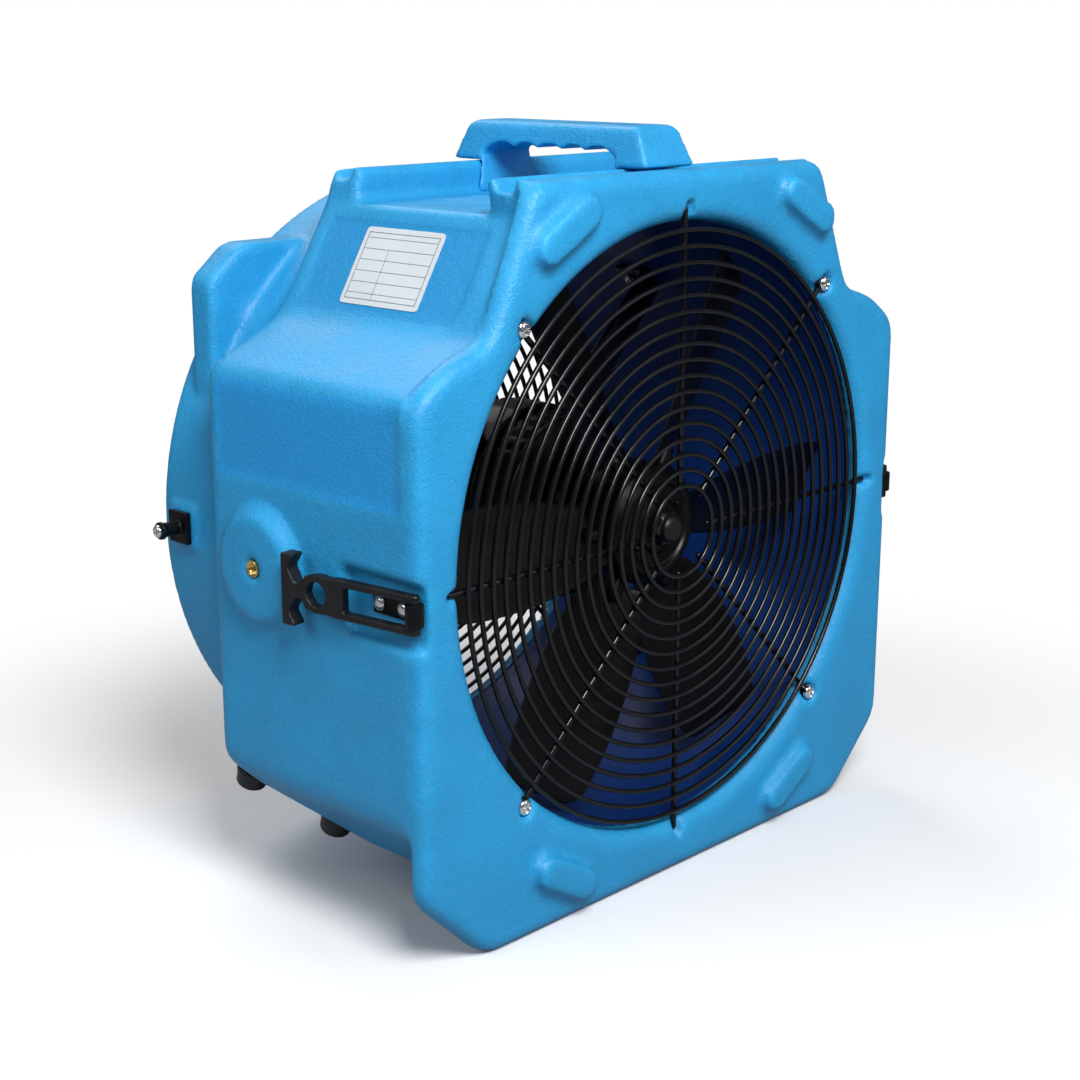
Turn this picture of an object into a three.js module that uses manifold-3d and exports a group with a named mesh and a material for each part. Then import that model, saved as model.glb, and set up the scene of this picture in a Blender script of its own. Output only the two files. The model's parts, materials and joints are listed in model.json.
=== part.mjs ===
// Car dryer blower: an axial fan in a moulded housing, guarded at both ends, with draw latches
// on its sides.  Millimetres.  Parts are drawn about the fan axis (+Y runs from the front face
// to the rear, +X to the right seen from the front, +Z up) and the group is then set on its base.
import * as THREE from 'three';
import { mergeVertices } from 'three/addons/utils/BufferGeometryUtils.js';
import Module from 'manifold-3d';

const wasm = await Module();
wasm.setup();

// ---------------------------------------------------------------- driving dimensions
// housing
const openingRadius = 205;       // duct bore, front and rear
const bodyDepth = 277;           // front face to rear face
const sideMargin = 36.5;         // bore to the flat side
const baseMargin = 38;           // bore to the ground
const railMargin = 33;           // bore to the top of the rails
const deckMargin = 11;           // bore to the deck between the rails
const panelThickness = 14;
const shellWall = 5;
const sleeveWall = 4;
const clearance = 0.3;           // between neighbouring pieces
const rearBodyLength = 75;       // round rear section
const shroudMargin = 20;         // bore to the outside of the round rear section
const railDepth = 45;            // front rail, front to back
const rearRailDepth = 34;
const railGrooveDepth = 8;       // open at both ends of a rail
const railWall = 8;
const openingFillet = 12;
const edgeRadius = 8;
// outline of the body, seen from the front
const deckHalfAngle = THREE.MathUtils.degToRad(32.8);
const podTopAngle = THREE.MathUtils.degToRad(26.04);
const podBottomAngle = THREE.MathUtils.degToRad(31.5);
const podChamfer = 44;
const crownMargin = 27.4;        // bore to the corner where a pod's top meets the upper chamfer
const crownAngle = THREE.MathUtils.degToRad(39.24);
const panelFootAngle = THREE.MathUtils.degToRad(37.6);
const panelCornerAngle = THREE.MathUtils.degToRad(38.3);
// rising underside of the pods
const riseStart = 100;           // depth where it starts
const riseSlope = 0.43;
// raised pads on the front
const padLength = 60;
const padWidth = 22;
const padHeight = 9;
const padCentreMargin = 36;
const padAngle = THREE.MathUtils.degToRad(60.1);
// side details
const decalDepth = 1.2;
const decalFrom = [17, 51];      // [depth, height] of its lower front corner
const decalTo = [190, 114];
const bossRadius = 42.5;
const bossTopRadius = 33;
const bossHeight = 9;
const bossDepthAt = 146;
const bossRise = -3;
const insertRadius = 5.6;
const insertBore = 4;
const insertLength = 14;
// handle
const handleHeight = 27;         // above the rails
const handleWidth = 40;
const handleFootWidth = 58;
const gripThickness = 17;
const handleStart = 18;
const handleFootLength = 32;
// wire guards
const guardRings = 9;
const guardInnerRadius = 31;
const guardRimGap = 5;           // outermost ring to the bore
const ringWire = 1.7;            // radius
const spokeWire = 2;             // radius
const guardDepth = 3;            // ring centre behind the face
const seatRadiusMargin = 10;     // bore to the guard screws
const eyeRadius = 6;
const screwShank = 2.4;
const screwHead = 5.5;
const screwLength = 13;
// fan and motor
const bladeCount = 6;
const tipGap = 8;
const fanDepth = 41;             // middle of the blades behind the front face
const hubRadius = 42;
const hubLength = 38;
const bladeRootChord = 46;
const bladeTipChord = 62;
const bladeBelly = 16;           // extra chord at mid-span
const bladeRootPitch = THREE.MathUtils.degToRad(34);
const bladeTipPitch = THREE.MathUtils.degToRad(21);
const bladeThickness = 2.4;
const nutRadius = 13;
const stubRadius = 6;
const shaftRadius = 8;
const motorRadius = 65;
const motorWall = 4;
const motorFront = 96;
const motorLength = 118;
const bellLength = 14;
const bearingRadius = 17.5;
const bearingWidth = 10;
const mountArmWidth = 24;
const mountPlate = 4;
// latches and keepers
const latchRise = -6;            // height of the latches' middle above the fan axis
const latchPivotDepth = 6;
const channelDepth = 7;
const channelLength = 70;
const channelSpan = [-24, 18];   // below and above the latch's middle
const bracketThickness = 2;
const bracketWidth = 14;
const latchBarRadius = 3.5;
const strapThickness = 7;
const strapHalfWidth = 12.5;
const strapTilt = THREE.MathUtils.degToRad(7);
const eyeAlongStrap = 76;
const strapEyeRadius = 8;
const teeAlongStrap = 94;
const teeDepth = 9;
const teeHalfHeight = 23;
const rivetHead = 4.6;
const rivetShank = 2;
const rivetDepths = [19, 40];
const keeperFromRear = 27;       // keeper's middle to the rear face
const keeperRise = 2;
const keeperPlate = [20, 22];     // depth, height
const keeperPostRadius = 5;
const keeperPostLength = 15;
const keeperScrewHead = 4.2;
// feet
const footRadius = 12;
const footTipRadius = 10.3;
const footEdge = 2;              // seat to the edge of the underside
const footHeight = 15;
const footStem = 4;
// controls, on the right-hand side
const plateSize = [84, 60];      // depth, height
const plateCentre = [68, -92];
const plateThickness = 3;
const switchRadius = 10;
const switchLength = 24;
const resetRadius = 4.5;
const resetStand = 4;            // button above the plate
const rockerThrow = THREE.MathUtils.degToRad(9);
const glandRadius = 9.5;
// rear skid and keeper pads
const skidHalf = 90;
const keeperPad = 2;
// motor capacitor
const capacitorRadius = 17;
const capacitorLength = 60;
const capacitorRise = -120;
// rating label
const labelSize = [72, 53];
const labelThickness = 0.5;
const labelDepthAt = 110;
const labelAlong = 39;           // up the chamfer from its lower edge
const fieldDepths = [36, 185];   // recessed field round the label, front to back
const fieldAlong = [5, 71];      // up the chamfer
const fieldRecess = 1.2;

// ---------------------------------------------------------------- derived places
const halfWidth = openingRadius + sideMargin;
const axisHeight = openingRadius + baseMargin;
const railTop = openingRadius + railMargin;
const deck = openingRadius + deckMargin;
const sleeveRadius = openingRadius + sleeveWall;
const housingFront = panelThickness + clearance;
const housingRear = bodyDepth - rearBodyLength;
const shroudRadius = openingRadius + shroudMargin;
const keeperDepthAt = bodyDepth - keeperFromRear;
const rearRingDepth = panelThickness;
const seatRadius = openingRadius + seatRadiusMargin;
const spokeDepth = guardDepth + ringWire + spokeWire - 0.3;
const seatDepth = spokeDepth + spokeWire + clearance;
const podTop = halfWidth * Math.tan(podTopAngle);
const podBottom = -halfWidth * Math.tan(podBottomAngle);
const crown = polar(openingRadius + crownMargin, crownAngle);
const deckHalf = deck * Math.tan(deckHalfAngle);
const underside = podBottom - podChamfer;
const channelFloor = halfWidth - channelDepth;
const pivotX = channelFloor + clearance + bracketThickness + 0.4 + latchBarRadius;
const motorRear = motorFront + motorLength;
const mountDepth = motorFront + motorLength / 2;
const mountScrewDepth = mountDepth + 18;
const diagonals = [45, 135, 225, 315].map(THREE.MathUtils.degToRad);
const uprights = [0, 90, 180, 270].map(THREE.MathUtils.degToRad);

function polar(radius, angle) {
  return [radius * Math.cos(angle), radius * Math.sin(angle)];
}

// ---------------------------------------------------------------- solids
// A closed geometry as a solid: shared corners merged, empty triangles dropped, faces outward.
function solid(shape) {
  if (!shape.isBufferGeometry) return shape;
  const plain = new THREE.BufferGeometry();
  plain.setAttribute('position', shape.getAttribute('position').clone());
  if (shape.index) plain.setIndex(shape.index.clone());
  const merged = mergeVertices(plain, 1e-3);
  const corners = merged.getAttribute('position');
  const index = merged.index.array;
  const triangles = [];
  let volume = 0;
  const [a, b, c] = [new THREE.Vector3(), new THREE.Vector3(), new THREE.Vector3()];
  for (let i = 0; i < index.length; i += 3) {
    const [p, q, r] = [index[i], index[i + 1], index[i + 2]];
    if (p === q || q === r || r === p) continue;
    triangles.push(p, q, r);
    a.fromBufferAttribute(corners, p);
    b.fromBufferAttribute(corners, q);
    c.fromBufferAttribute(corners, r);
    volume += a.dot(b.cross(c));
  }
  if (volume < 0) triangles.reverse();
  return new wasm.Manifold(new wasm.Mesh({
    numProp: 3,
    vertProperties: new Float32Array(corners.array),
    triVerts: new Uint32Array(triangles),
  }));
}

function join(...shapes) {
  return shapes.map(solid).reduce((sum, shape) => sum.add(shape));
}

function cut(base, ...tools) {
  return tools.map(solid).reduce((rest, tool) => rest.subtract(tool), solid(base));
}

function common(first, second) {
  return solid(first).intersect(solid(second));
}

function box([x0, x1], [y0, y1], [z0, z1]) {
  const block = new THREE.BoxGeometry(x1 - x0, y1 - y0, z1 - z0);
  return block.translate((x0 + x1) / 2, (y0 + y1) / 2, (z0 + z1) / 2);
}

// A ring or disc about the fan axis from a closed profile of [radius, depth] points.
function turned(profile, segments = 48) {
  const points = [...profile, profile[0]].map(([r, y]) => new THREE.Vector2(r, y));
  return new THREE.LatheGeometry(points, segments);
}

function tube(inner, outer, from, to, segments = 48) {
  return turned([[inner, from], [outer, from], [outer, to], [inner, to]], segments);
}

function disc(radius, from, to, segments = 48) {
  return turned([[0, from], [radius, from], [radius, to], [0, to]], segments);
}

// A closed outline of [across, up] corners, each corner rounded.
function outline(corners, radius = 0) {
  const shape = new THREE.Shape();
  const count = corners.length;
  corners.forEach((corner, i) => {
    const here = new THREE.Vector2(...corner);
    const before = new THREE.Vector2(...corners[(i + count - 1) % count]);
    const after = new THREE.Vector2(...corners[(i + 1) % count]);
    const start = before.clone().sub(here);
    const end = after.clone().sub(here);
    const reach = Math.min(radius, start.length() / 2.2, end.length() / 2.2);
    start.setLength(reach).add(here);
    end.setLength(reach).add(here);
    if (i === 0) shape.moveTo(start.x, start.y);
    else shape.lineTo(start.x, start.y);
    if (reach > 0) shape.quadraticCurveTo(here.x, here.y, end.x, end.y);
  });
  shape.closePath();
  return shape;
}

function mirrored(rightHalf) {
  return [...rightHalf, ...rightHalf.map(([x, z]) => [-x, z]).reverse()];
}

// An outline in the X-Z plane, pushed along Y, with its ends rounded off by edge.
function prism(shape, from, to, edge = 0) {
  const solidShape = new THREE.ExtrudeGeometry(shape, {
    depth: to - from - 2 * edge,
    bevelEnabled: edge > 0,
    bevelThickness: edge,
    bevelSize: edge,
    bevelOffset: -edge,
    bevelSegments: 2,
    curveSegments: 3,
  });
  return solidShape.rotateX(Math.PI / 2).translate(0, to - edge, 0);
}

// An outline in the Y-Z plane, pushed along X to both sides of the middle.
function sideways(shape, reach) {
  const plate = new THREE.ExtrudeGeometry(shape, {
    depth: 2 * reach, bevelEnabled: false, curveSegments: 4,
  });
  return plate.rotateX(Math.PI / 2).rotateZ(Math.PI / 2).translate(-reach, 0, 0);
}

// A slot-shaped outline along the first axis.
function capsule(length, width) {
  const shape = new THREE.Shape();
  const reach = (length - width) / 2;
  shape.absarc(reach, 0, width / 2, -Math.PI / 2, Math.PI / 2, false);
  shape.absarc(-reach, 0, width / 2, Math.PI / 2, 1.5 * Math.PI, false);
  shape.closePath();
  return shape;
}

// Turned about the fan axis so that its +X side points along the given angle.
function aimed(geometry, angle) {
  return geometry.rotateY(-angle);
}

// A shape drawn for the right-hand side, as it is on the given side.
function onSide(side, geometry) {
  return side > 0 ? geometry : geometry.scale(-1, 1, 1);
}

// A straight round bar along X.
function barX(radius, from, to, y = 0, z = 0, segments = 12) {
  return disc(radius, from, to, segments).rotateZ(-Math.PI / 2).translate(0, y, z);
}

// ---------------------------------------------------------------- outlines
const bodyOutline = mirrored([
  [halfWidth - podChamfer, underside],
  [halfWidth, podBottom],
  [halfWidth, podTop],
  crown,
  [deckHalf, deck],
]);

const cavityOutline = insetOutline(bodyOutline, shellWall);

const panelOutline = mirrored([
  [axisHeight * Math.tan(panelFootAngle), -axisHeight],
  [halfWidth, -halfWidth * Math.tan(panelCornerAngle)],
  [halfWidth, podTop],
  [halfWidth - 28, podTop + 20],
  crown,
  [deckHalf + 4, railTop],
]);

// Each edge of a closed outline moved inwards, and met with the next one.
function insetOutline(corners, distance) {
  const edges = corners.map((corner, i) => {
    const next = corners[(i + 1) % corners.length];
    const along = new THREE.Vector2(next[0] - corner[0], next[1] - corner[1]).normalize();
    const inward = new THREE.Vector2(-along.y, along.x);
    return { along, start: new THREE.Vector2(...corner).addScaledVector(inward, distance) };
  });
  return edges.map((edge, i) => {
    const last = edges[(i + edges.length - 1) % edges.length];
    const between = edge.start.clone().sub(last.start);
    const reach = between.cross(edge.along) / last.along.cross(edge.along);
    const corner = last.start.clone().addScaledVector(last.along, reach);
    return [corner.x, corner.y];
  });
}

// Everything below the pods' rising underside, moved up by lift.
function belowRise(lift) {
  const far = bodyDepth;
  const top = (depth) => underside + (depth - riseStart) * riseSlope + lift;
  const below = outline([[0, -2 * axisHeight], [far, -2 * axisHeight], [far, top(far)], [0, top(0)]]);
  return sideways(below, 2 * halfWidth);
}

// Recesses for a guard's eyes and spoke ends, and its screw holes, in a face at y = face.
// inward is +1 when the material lies behind the face, and -1 when it lies in front.
function guardSeats(face, inward) {
  const low = Math.min(face - inward, face + inward * seatDepth);
  const high = Math.max(face - inward, face + inward * seatDepth);
  const through = face + inward * 60;
  const tools = [];
  for (const angle of diagonals) {
    const eyeSeat = prism(capsule(4 * eyeRadius, 2 * eyeRadius + 2), low, high);
    tools.push(aimed(eyeSeat.translate(seatRadius - eyeRadius + 1, 0, 0), angle));
    const hole = disc(screwShank + 0.4, Math.min(face, through), Math.max(face, through), 12);
    tools.push(aimed(hole.translate(seatRadius, 0, 0), angle));
  }
  for (const angle of uprights) {
    const notch = prism(capsule(4 * spokeWire + 22, 4 * spokeWire), low, high);
    tools.push(aimed(notch.translate(openingRadius, 0, 0), angle));
  }
  return tools;
}

function latchChannel(side) {
  return onSide(side, box([channelFloor, halfWidth + 5], [-1, channelLength], about(latchRise, channelSpan)));
}

// A span given below and above a middle.
function about(middle, [below, above]) {
  return [middle + below, middle + above];
}

// ---------------------------------------------------------------- housing pieces
function frontPanel() {
  const blank = prism(outline(panelOutline, 12), 0, 2 * railDepth, edgeRadius);
  const plate = box([-2 * halfWidth, 2 * halfWidth], [-1, panelThickness], [-2 * axisHeight, railTop + 1]);
  const opening = turned([
    [0, -2 * padHeight],
    [openingRadius + openingFillet, -2 * padHeight],
    [openingRadius + openingFillet, 0],
    [openingRadius + 0.5 * openingFillet, 0.14 * openingFillet],
    [openingRadius + 0.14 * openingFillet, 0.5 * openingFillet],
    [openingRadius, openingFillet],
    [openingRadius, 2 * railDepth],
    [0, 2 * railDepth],
  ]);
  let panel = common(blank, plate);
  for (const angle of [padAngle, Math.PI - padAngle, Math.PI + padAngle, -padAngle]) {
    const pad = prism(capsule(padLength, padWidth), -padHeight, edgeRadius, 3);
    const centre = openingRadius + padCentreMargin;
    panel = join(panel, aimed(pad.rotateY(Math.PI / 2).translate(centre, 0, 0), angle));
  }
  for (const angle of diagonals) {
    const boss = disc(screwShank + 2.8, panelThickness - 1, panelThickness + 9, 12);
    panel = join(panel, aimed(boss.translate(seatRadius, 0, 0), angle));
  }
  return cut(panel, opening, ...guardSeats(0, 1), latchChannel(1), latchChannel(-1));
}

function mainHousing() {
  const barrel = disc(deck, housingFront, housingRear);
  const pods = cut(prism(outline(bodyOutline), housingFront, housingRear), belowRise(0));
  const hollow = cut(
    prism(outline(cavityOutline), -housingRear, housingRear - shellWall),
    belowRise(shellWall),
  );
  const bore = disc(sleeveRadius + clearance, -housingRear, 2 * bodyDepth);
  let body = cut(join(barrel, pods), hollow, bore);

  const rail = prism(
    outline(mirrored([[deckHalf, deck - 3], [deckHalf - 5, railTop]])),
    housingRear - rearRailDepth, housingRear, 4,
  );
  const frontRail = common(
    prism(outline(mirrored([[deckHalf, deck - 3], [deckHalf + 4, railTop]])), 0, railDepth, 4),
    box([-halfWidth, halfWidth], [housingFront, railDepth + 1], [0, railTop + 1]),
  );
  const groove = (from, to) => box([-halfWidth, halfWidth], [from, to], [railTop - railGrooveDepth, railTop + 1]);
  body = cut(
    join(body, rail, frontRail),
    groove(housingRear - rearRailDepth + railWall, housingRear - railWall),
    groove(housingFront + railWall - 2, railDepth - railWall),
  );

  for (const side of [-1, 1]) {
    const backing = box([channelFloor - shellWall, halfWidth - 1], [housingFront, channelLength + shellWall],
      [latchRise + channelSpan[0] - shellWall, latchRise + channelSpan[1] + shellWall]);
    const boss = new THREE.CylinderGeometry(bossTopRadius, bossRadius, bossHeight + 1, 24)
      .rotateZ(-Math.PI / 2)
      .translate(halfWidth + (bossHeight - 1) / 2, bossDepthAt, bossRise);
    const plug = barX(2 * insertRadius, halfWidth - insertLength, halfWidth, bossDepthAt, bossRise);
    const decal = box([halfWidth - decalDepth, halfWidth + 1], [decalFrom[0], decalTo[0]],
      [decalFrom[1], decalTo[1]]);
    const insertHole = barX(insertRadius + clearance, halfWidth - insertLength - 20, halfWidth + 30,
      bossDepthAt, bossRise);
    const rivetHoles = rivetDepths.map((depth) => barX(rivetShank + clearance, channelFloor - 20,
      channelFloor + 20, depth, latchRise, 12));
    body = join(body, ...[backing, boss, plug].map((piece) => onSide(side, piece)));
    body = cut(body, latchChannel(side),
      ...[decal, insertHole, ...rivetHoles].map((tool) => onSide(side, tool)));
  }
  return cut(body, ...footPlaces().map(footHole), ...controlRecess(), labelField());
}

function rearShroud() {
  const inner = shroudRadius - shellWall;
  const front = housingRear + clearance;
  const ringFront = bodyDepth - rearRingDepth;
  const shell = turned([
    [sleeveRadius + 1, front],
    [shroudRadius, front],
    [shroudRadius, bodyDepth - 6],
    [shroudRadius - 2, bodyDepth - 2],
    [shroudRadius - 6, bodyDepth],
    [openingRadius + 6, bodyDepth],
    [openingRadius + 2, bodyDepth - 2],
    [openingRadius, bodyDepth - 6],
    [openingRadius, ringFront],
    [inner, ringFront],
    [inner, front + shellWall],
    [sleeveRadius + 1, front + shellWall],
  ]);
  const lugOutline = outline([
    [-openingRadius - 2, 60],
    [openingRadius + 2, 60],
    [openingRadius + 2, openingRadius - 39],
    [openingRadius - 25, openingRadius - 17],
    [25 - openingRadius, openingRadius - 17],
    [-openingRadius - 2, openingRadius - 39],
  ], 6);
  const lugs = prism(lugOutline, bodyDepth - 42, bodyDepth - 18, 4);
  const skid = box([-skidHalf, skidHalf], [bodyDepth - 64, bodyDepth - 22], [-axisHeight, 0]);
  const padHalf = keeperPlate.map((size) => size / 2 + 3);
  const keeperPads = [-1, 1].map((side) => onSide(side, box([inner + 1, shroudRadius + keeperPad],
    about(keeperDepthAt, [-padHalf[0], padHalf[0]]), about(keeperRise, [-padHalf[1], padHalf[1]]))));
  const outside = cut(join(lugs, skid, ...keeperPads), disc(inner + 0.5, 0, 2 * bodyDepth));
  return cut(join(shell, outside), ...guardSeats(bodyDepth, -1), keeperHole(1), keeperHole(-1));
}

function keeperHole(side) {
  return onSide(side, barX(screwShank + 0.4, openingRadius, 2 * shroudRadius, keeperDepthAt, keeperRise, 12));
}

function ductSleeve() {
  const sleeve = tube(openingRadius, sleeveRadius, housingFront, bodyDepth - rearRingDepth - clearance);
  return cut(sleeve, ...diagonals.map((angle) => aimed(
    barX(screwShank + 0.4, openingRadius - 20, openingRadius + 20, mountScrewDepth, 0, 12), angle,
  )));
}

function carryHandle() {
  const top = railTop + handleHeight;
  const end = housingRear - 7;
  const foot = deck + clearance;
  const onRail = railTop + clearance;
  const gripUnder = top - gripThickness;
  const postFront = railDepth + clearance;
  const postRear = housingRear - rearRailDepth - clearance;
  const slope = 0.42 * handleHeight;
  const side = new THREE.Shape();
  side.moveTo(handleStart, onRail);
  side.lineTo(postFront, onRail);
  side.lineTo(postFront, foot);
  side.lineTo(handleStart + handleFootLength, foot);
  side.lineTo(handleStart + handleFootLength - 4, gripUnder - 4);
  const scallops = 5;
  const span = [handleStart + handleFootLength + 2, end - handleFootLength - 2];
  const pitch = (span[1] - span[0]) / scallops;
  side.lineTo(span[0], gripUnder);
  for (let i = 0; i < scallops; i += 1) {
    const from = span[0] + i * pitch;
    side.quadraticCurveTo(from + pitch / 2, gripUnder + 6, from + pitch, gripUnder);
  }
  side.lineTo(end - handleFootLength + 4, gripUnder - 4);
  side.lineTo(end - handleFootLength, foot);
  side.lineTo(postRear, foot);
  side.lineTo(postRear, onRail);
  side.lineTo(end, onRail);
  side.lineTo(end - slope, top - 3);
  side.lineTo(end - slope - 4, top);
  side.lineTo(handleStart + slope + 4, top);
  side.lineTo(handleStart + slope, top - 3);
  side.closePath();
  const across = prism(outline(mirrored([
    [handleFootWidth / 2, foot - 1],
    [handleWidth / 2 + 3, top - gripThickness],
    [handleWidth / 2, top],
  ]), 6), 0, bodyDepth);
  return common(sideways(side, handleFootWidth), across);
}

// ---------------------------------------------------------------- guards and screws
// Concentric rings with eight spokes behind them, and eyes on the diagonal spokes.
function guard(face, inward) {
  const at = (depth) => face + inward * depth;
  const outermost = openingRadius - guardRimGap;
  const step = (outermost - guardInnerRadius) / (guardRings - 1);
  const pieces = [];
  for (let i = 0; i < guardRings; i += 1) {
    const radius = guardInnerRadius + i * step;
    const segments = Math.max(12, 4 * Math.round(radius / 33));
    pieces.push(turned([
      [radius, at(guardDepth - ringWire)],
      [radius + ringWire, at(guardDepth + ringWire)],
      [radius - ringWire, at(guardDepth + ringWire)],
    ], segments));
  }
  const [low, high] = [at(spokeDepth - spokeWire), at(spokeDepth + spokeWire)].sort((a, b) => a - b);
  const spoke = (end) => box([guardInnerRadius - 2 * ringWire, end], [low, high], [-spokeWire, spokeWire]);
  diagonals.forEach((angle) => pieces.push(aimed(spoke(seatRadius - eyeRadius + 1), angle)));
  uprights.forEach((angle) => pieces.push(aimed(spoke(seatRadius), angle)));
  let wires = join(...pieces);
  for (const angle of diagonals) {
    const eye = tube(screwShank + 0.4, eyeRadius, low, high, 10);
    wires = join(wires, aimed(eye.translate(seatRadius, 0, 0), angle));
  }
  return wires;
}

// A pan-head screw whose head's underside is at the origin and whose shank runs along +Y.
function panScrew(length = screwLength, head = screwHead) {
  return solid(turned([
    [0, -0.65 * head],
    [0.75 * head, -0.54 * head],
    [head, -0.15 * head],
    [head, 0],
    [screwShank, 0],
    [screwShank, length],
    [0, length],
  ], 10));
}

// ---------------------------------------------------------------- fan and motor
function fanBlade() {
  const rootRadius = hubRadius + 2;
  const tipRadius = openingRadius - tipGap;
  const span = tipRadius - rootRadius;
  const halves = [-0.5, -0.25, 0, 0.25, 0.5];
  const camber = (s) => 0.07 * (1 - 4 * s * s);
  const section = new THREE.Shape([
    ...halves.map((s) => new THREE.Vector2(s, camber(s))),
    ...halves.map((s) => new THREE.Vector2(s, camber(s) + 1)).reverse(),
  ]);
  const blade = new THREE.ExtrudeGeometry(section, { depth: 1, steps: 4, bevelEnabled: false });
  const point = blade.getAttribute('position');
  for (let i = 0; i < point.count; i += 1) {
    const share = point.getZ(i);
    const across = point.getX(i);
    const upper = point.getY(i) - camber(across) > 0.5 ? 1 : -1;
    const chord = THREE.MathUtils.lerp(bladeRootChord, bladeTipChord, share)
      + 4 * share * (1 - share) * bladeBelly;
    const pitch = THREE.MathUtils.lerp(bladeRootPitch, bladeTipPitch, share);
    const along = across * chord;
    const rise = camber(across) * chord + upper * bladeThickness / 2;
    const corner = 0.12 * span * share * Math.pow(Math.abs(2 * across), 6) * 0.5;
    point.setXYZ(i,
      rootRadius + share * span - corner,
      fanDepth - along * Math.sin(pitch) + rise * Math.cos(pitch),
      along * Math.cos(pitch) + rise * Math.sin(pitch));
  }
  const stub = barX(stubRadius, hubRadius - 12, rootRadius + 12, fanDepth, 0, 10);
  return join(blade, stub);
}

function fanHub() {
  const front = fanDepth - hubLength / 2;
  const hub = turned([
    [shaftRadius + clearance, front],
    [hubRadius - 8, front],
    [hubRadius, front + 7],
    [hubRadius, front + hubLength],
    [shaftRadius + clearance, front + hubLength],
  ], 24);
  const sockets = [];
  for (let i = 0; i < bladeCount; i += 1) {
    const socket = barX(stubRadius + clearance, hubRadius - 12 - clearance, hubRadius + 5, fanDepth, 0, 10);
    sockets.push(aimed(socket, bladeAngle(i)));
  }
  return cut(hub, ...sockets);
}

function bladeAngle(i) {
  return i * 2 * Math.PI / bladeCount;
}

function fanNut() {
  const front = fanDepth - hubLength / 2 - clearance;
  return cut(disc(nutRadius, front - 8, front, 6), disc(shaftRadius + clearance, front - 9, front + 1, 16));
}

function motorShaft() {
  return solid(disc(shaftRadius, fanDepth - hubLength / 2 - 12, motorRear - 2, 16));
}

function motorRotor() {
  return solid(tube(shaftRadius + clearance, 37.5, motorFront + 26, motorRear - 26, 20));
}

function motorStator() {
  return solid(tube(38.2, motorRadius - motorWall - clearance, motorFront + 24, motorRear - 24, 24));
}

function motorShell() {
  return solid(tube(motorRadius - motorWall, motorRadius,
    motorFront + bellLength + clearance, motorRear - bellLength - clearance, 24));
}

// A motor end cap with a bearing seat; outward is -1 at the front end and +1 at the rear.
function endBell(outward) {
  const outside = outward < 0 ? motorFront : motorRear;
  const at = (depth) => outside - outward * depth;
  return solid(turned([
    [shaftRadius + 1, at(0)],
    [motorRadius - 16, at(0)],
    [motorRadius, at(8)],
    [motorRadius, at(bellLength)],
    [motorRadius - motorWall, at(bellLength)],
    [motorRadius - motorWall, at(10)],
    [bearingRadius + 5, at(6)],
    [bearingRadius + 5, at(bellLength)],
    [bearingRadius + clearance, at(bellLength)],
    [bearingRadius + clearance, at(3)],
    [shaftRadius + 1, at(3)],
  ], 24));
}

function bearing(outward) {
  const outside = outward < 0 ? motorFront : motorRear;
  const near = outside - outward * (3 + clearance);
  const far = near - outward * bearingWidth;
  return solid(tube(shaftRadius + 0.4, bearingRadius, Math.min(near, far), Math.max(near, far), 24));
}

// A band round the motor with four flat arms that end in feet against the duct.
function motorMount() {
  const bandOuter = motorRadius + clearance + mountPlate;
  const footOuter = openingRadius - 1;
  const across = [-mountArmWidth / 2, mountArmWidth / 2];
  const pieces = [tube(motorRadius + clearance, bandOuter, mountDepth - 18, mountDepth + 18, 24)];
  const holes = [];
  for (const angle of diagonals) {
    pieces.push(aimed(box([bandOuter - 2, footOuter - 1], about(mountDepth, [-3, 3]), across), angle));
    pieces.push(aimed(box([footOuter - mountPlate, footOuter], about(mountDepth, [-3, 30]), across), angle));
    holes.push(aimed(barX(screwShank + 0.4, openingRadius - 20, openingRadius + 20, mountScrewDepth, 0, 12),
      angle));
  }
  return cut(join(...pieces), ...holes);
}

function capacitor() {
  const x = halfWidth - shellWall - clearance - capacitorRadius;
  return solid(disc(capacitorRadius, 122, 122 + capacitorLength, 16).translate(x, 0, capacitorRise));
}

// ---------------------------------------------------------------- latches and keepers
// A riveted tongue that ends in an eye round the strap's bar.
function latchBracket(side) {
  const face = channelFloor + clearance;
  const eyeInner = latchBarRadius + 0.4;
  const eye = tube(eyeInner, eyeInner + bracketThickness, -bracketWidth / 2, bracketWidth / 2, 12)
    .rotateX(Math.PI / 2).translate(pivotX, latchPivotDepth, latchRise);
  const tongue = box([face, face + bracketThickness], [latchPivotDepth, rivetDepths[1] + rivetHead + 2],
    about(latchRise, [-bracketWidth / 2, bracketWidth / 2]));
  const window = barZ(eyeInner, -bracketWidth, bracketWidth).translate(pivotX, latchPivotDepth, latchRise);
  const holes = rivetDepths.map((depth) => barX(rivetShank + clearance, face - 5, face + 5, depth, latchRise, 12));
  return cut(join(onSide(side, eye), onSide(side, tongue)), onSide(side, window),
    ...holes.map((hole) => onSide(side, hole)));
}

function barZ(radius, from, to, segments = 12) {
  return disc(radius, from, to, segments).rotateX(Math.PI / 2);
}

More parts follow.
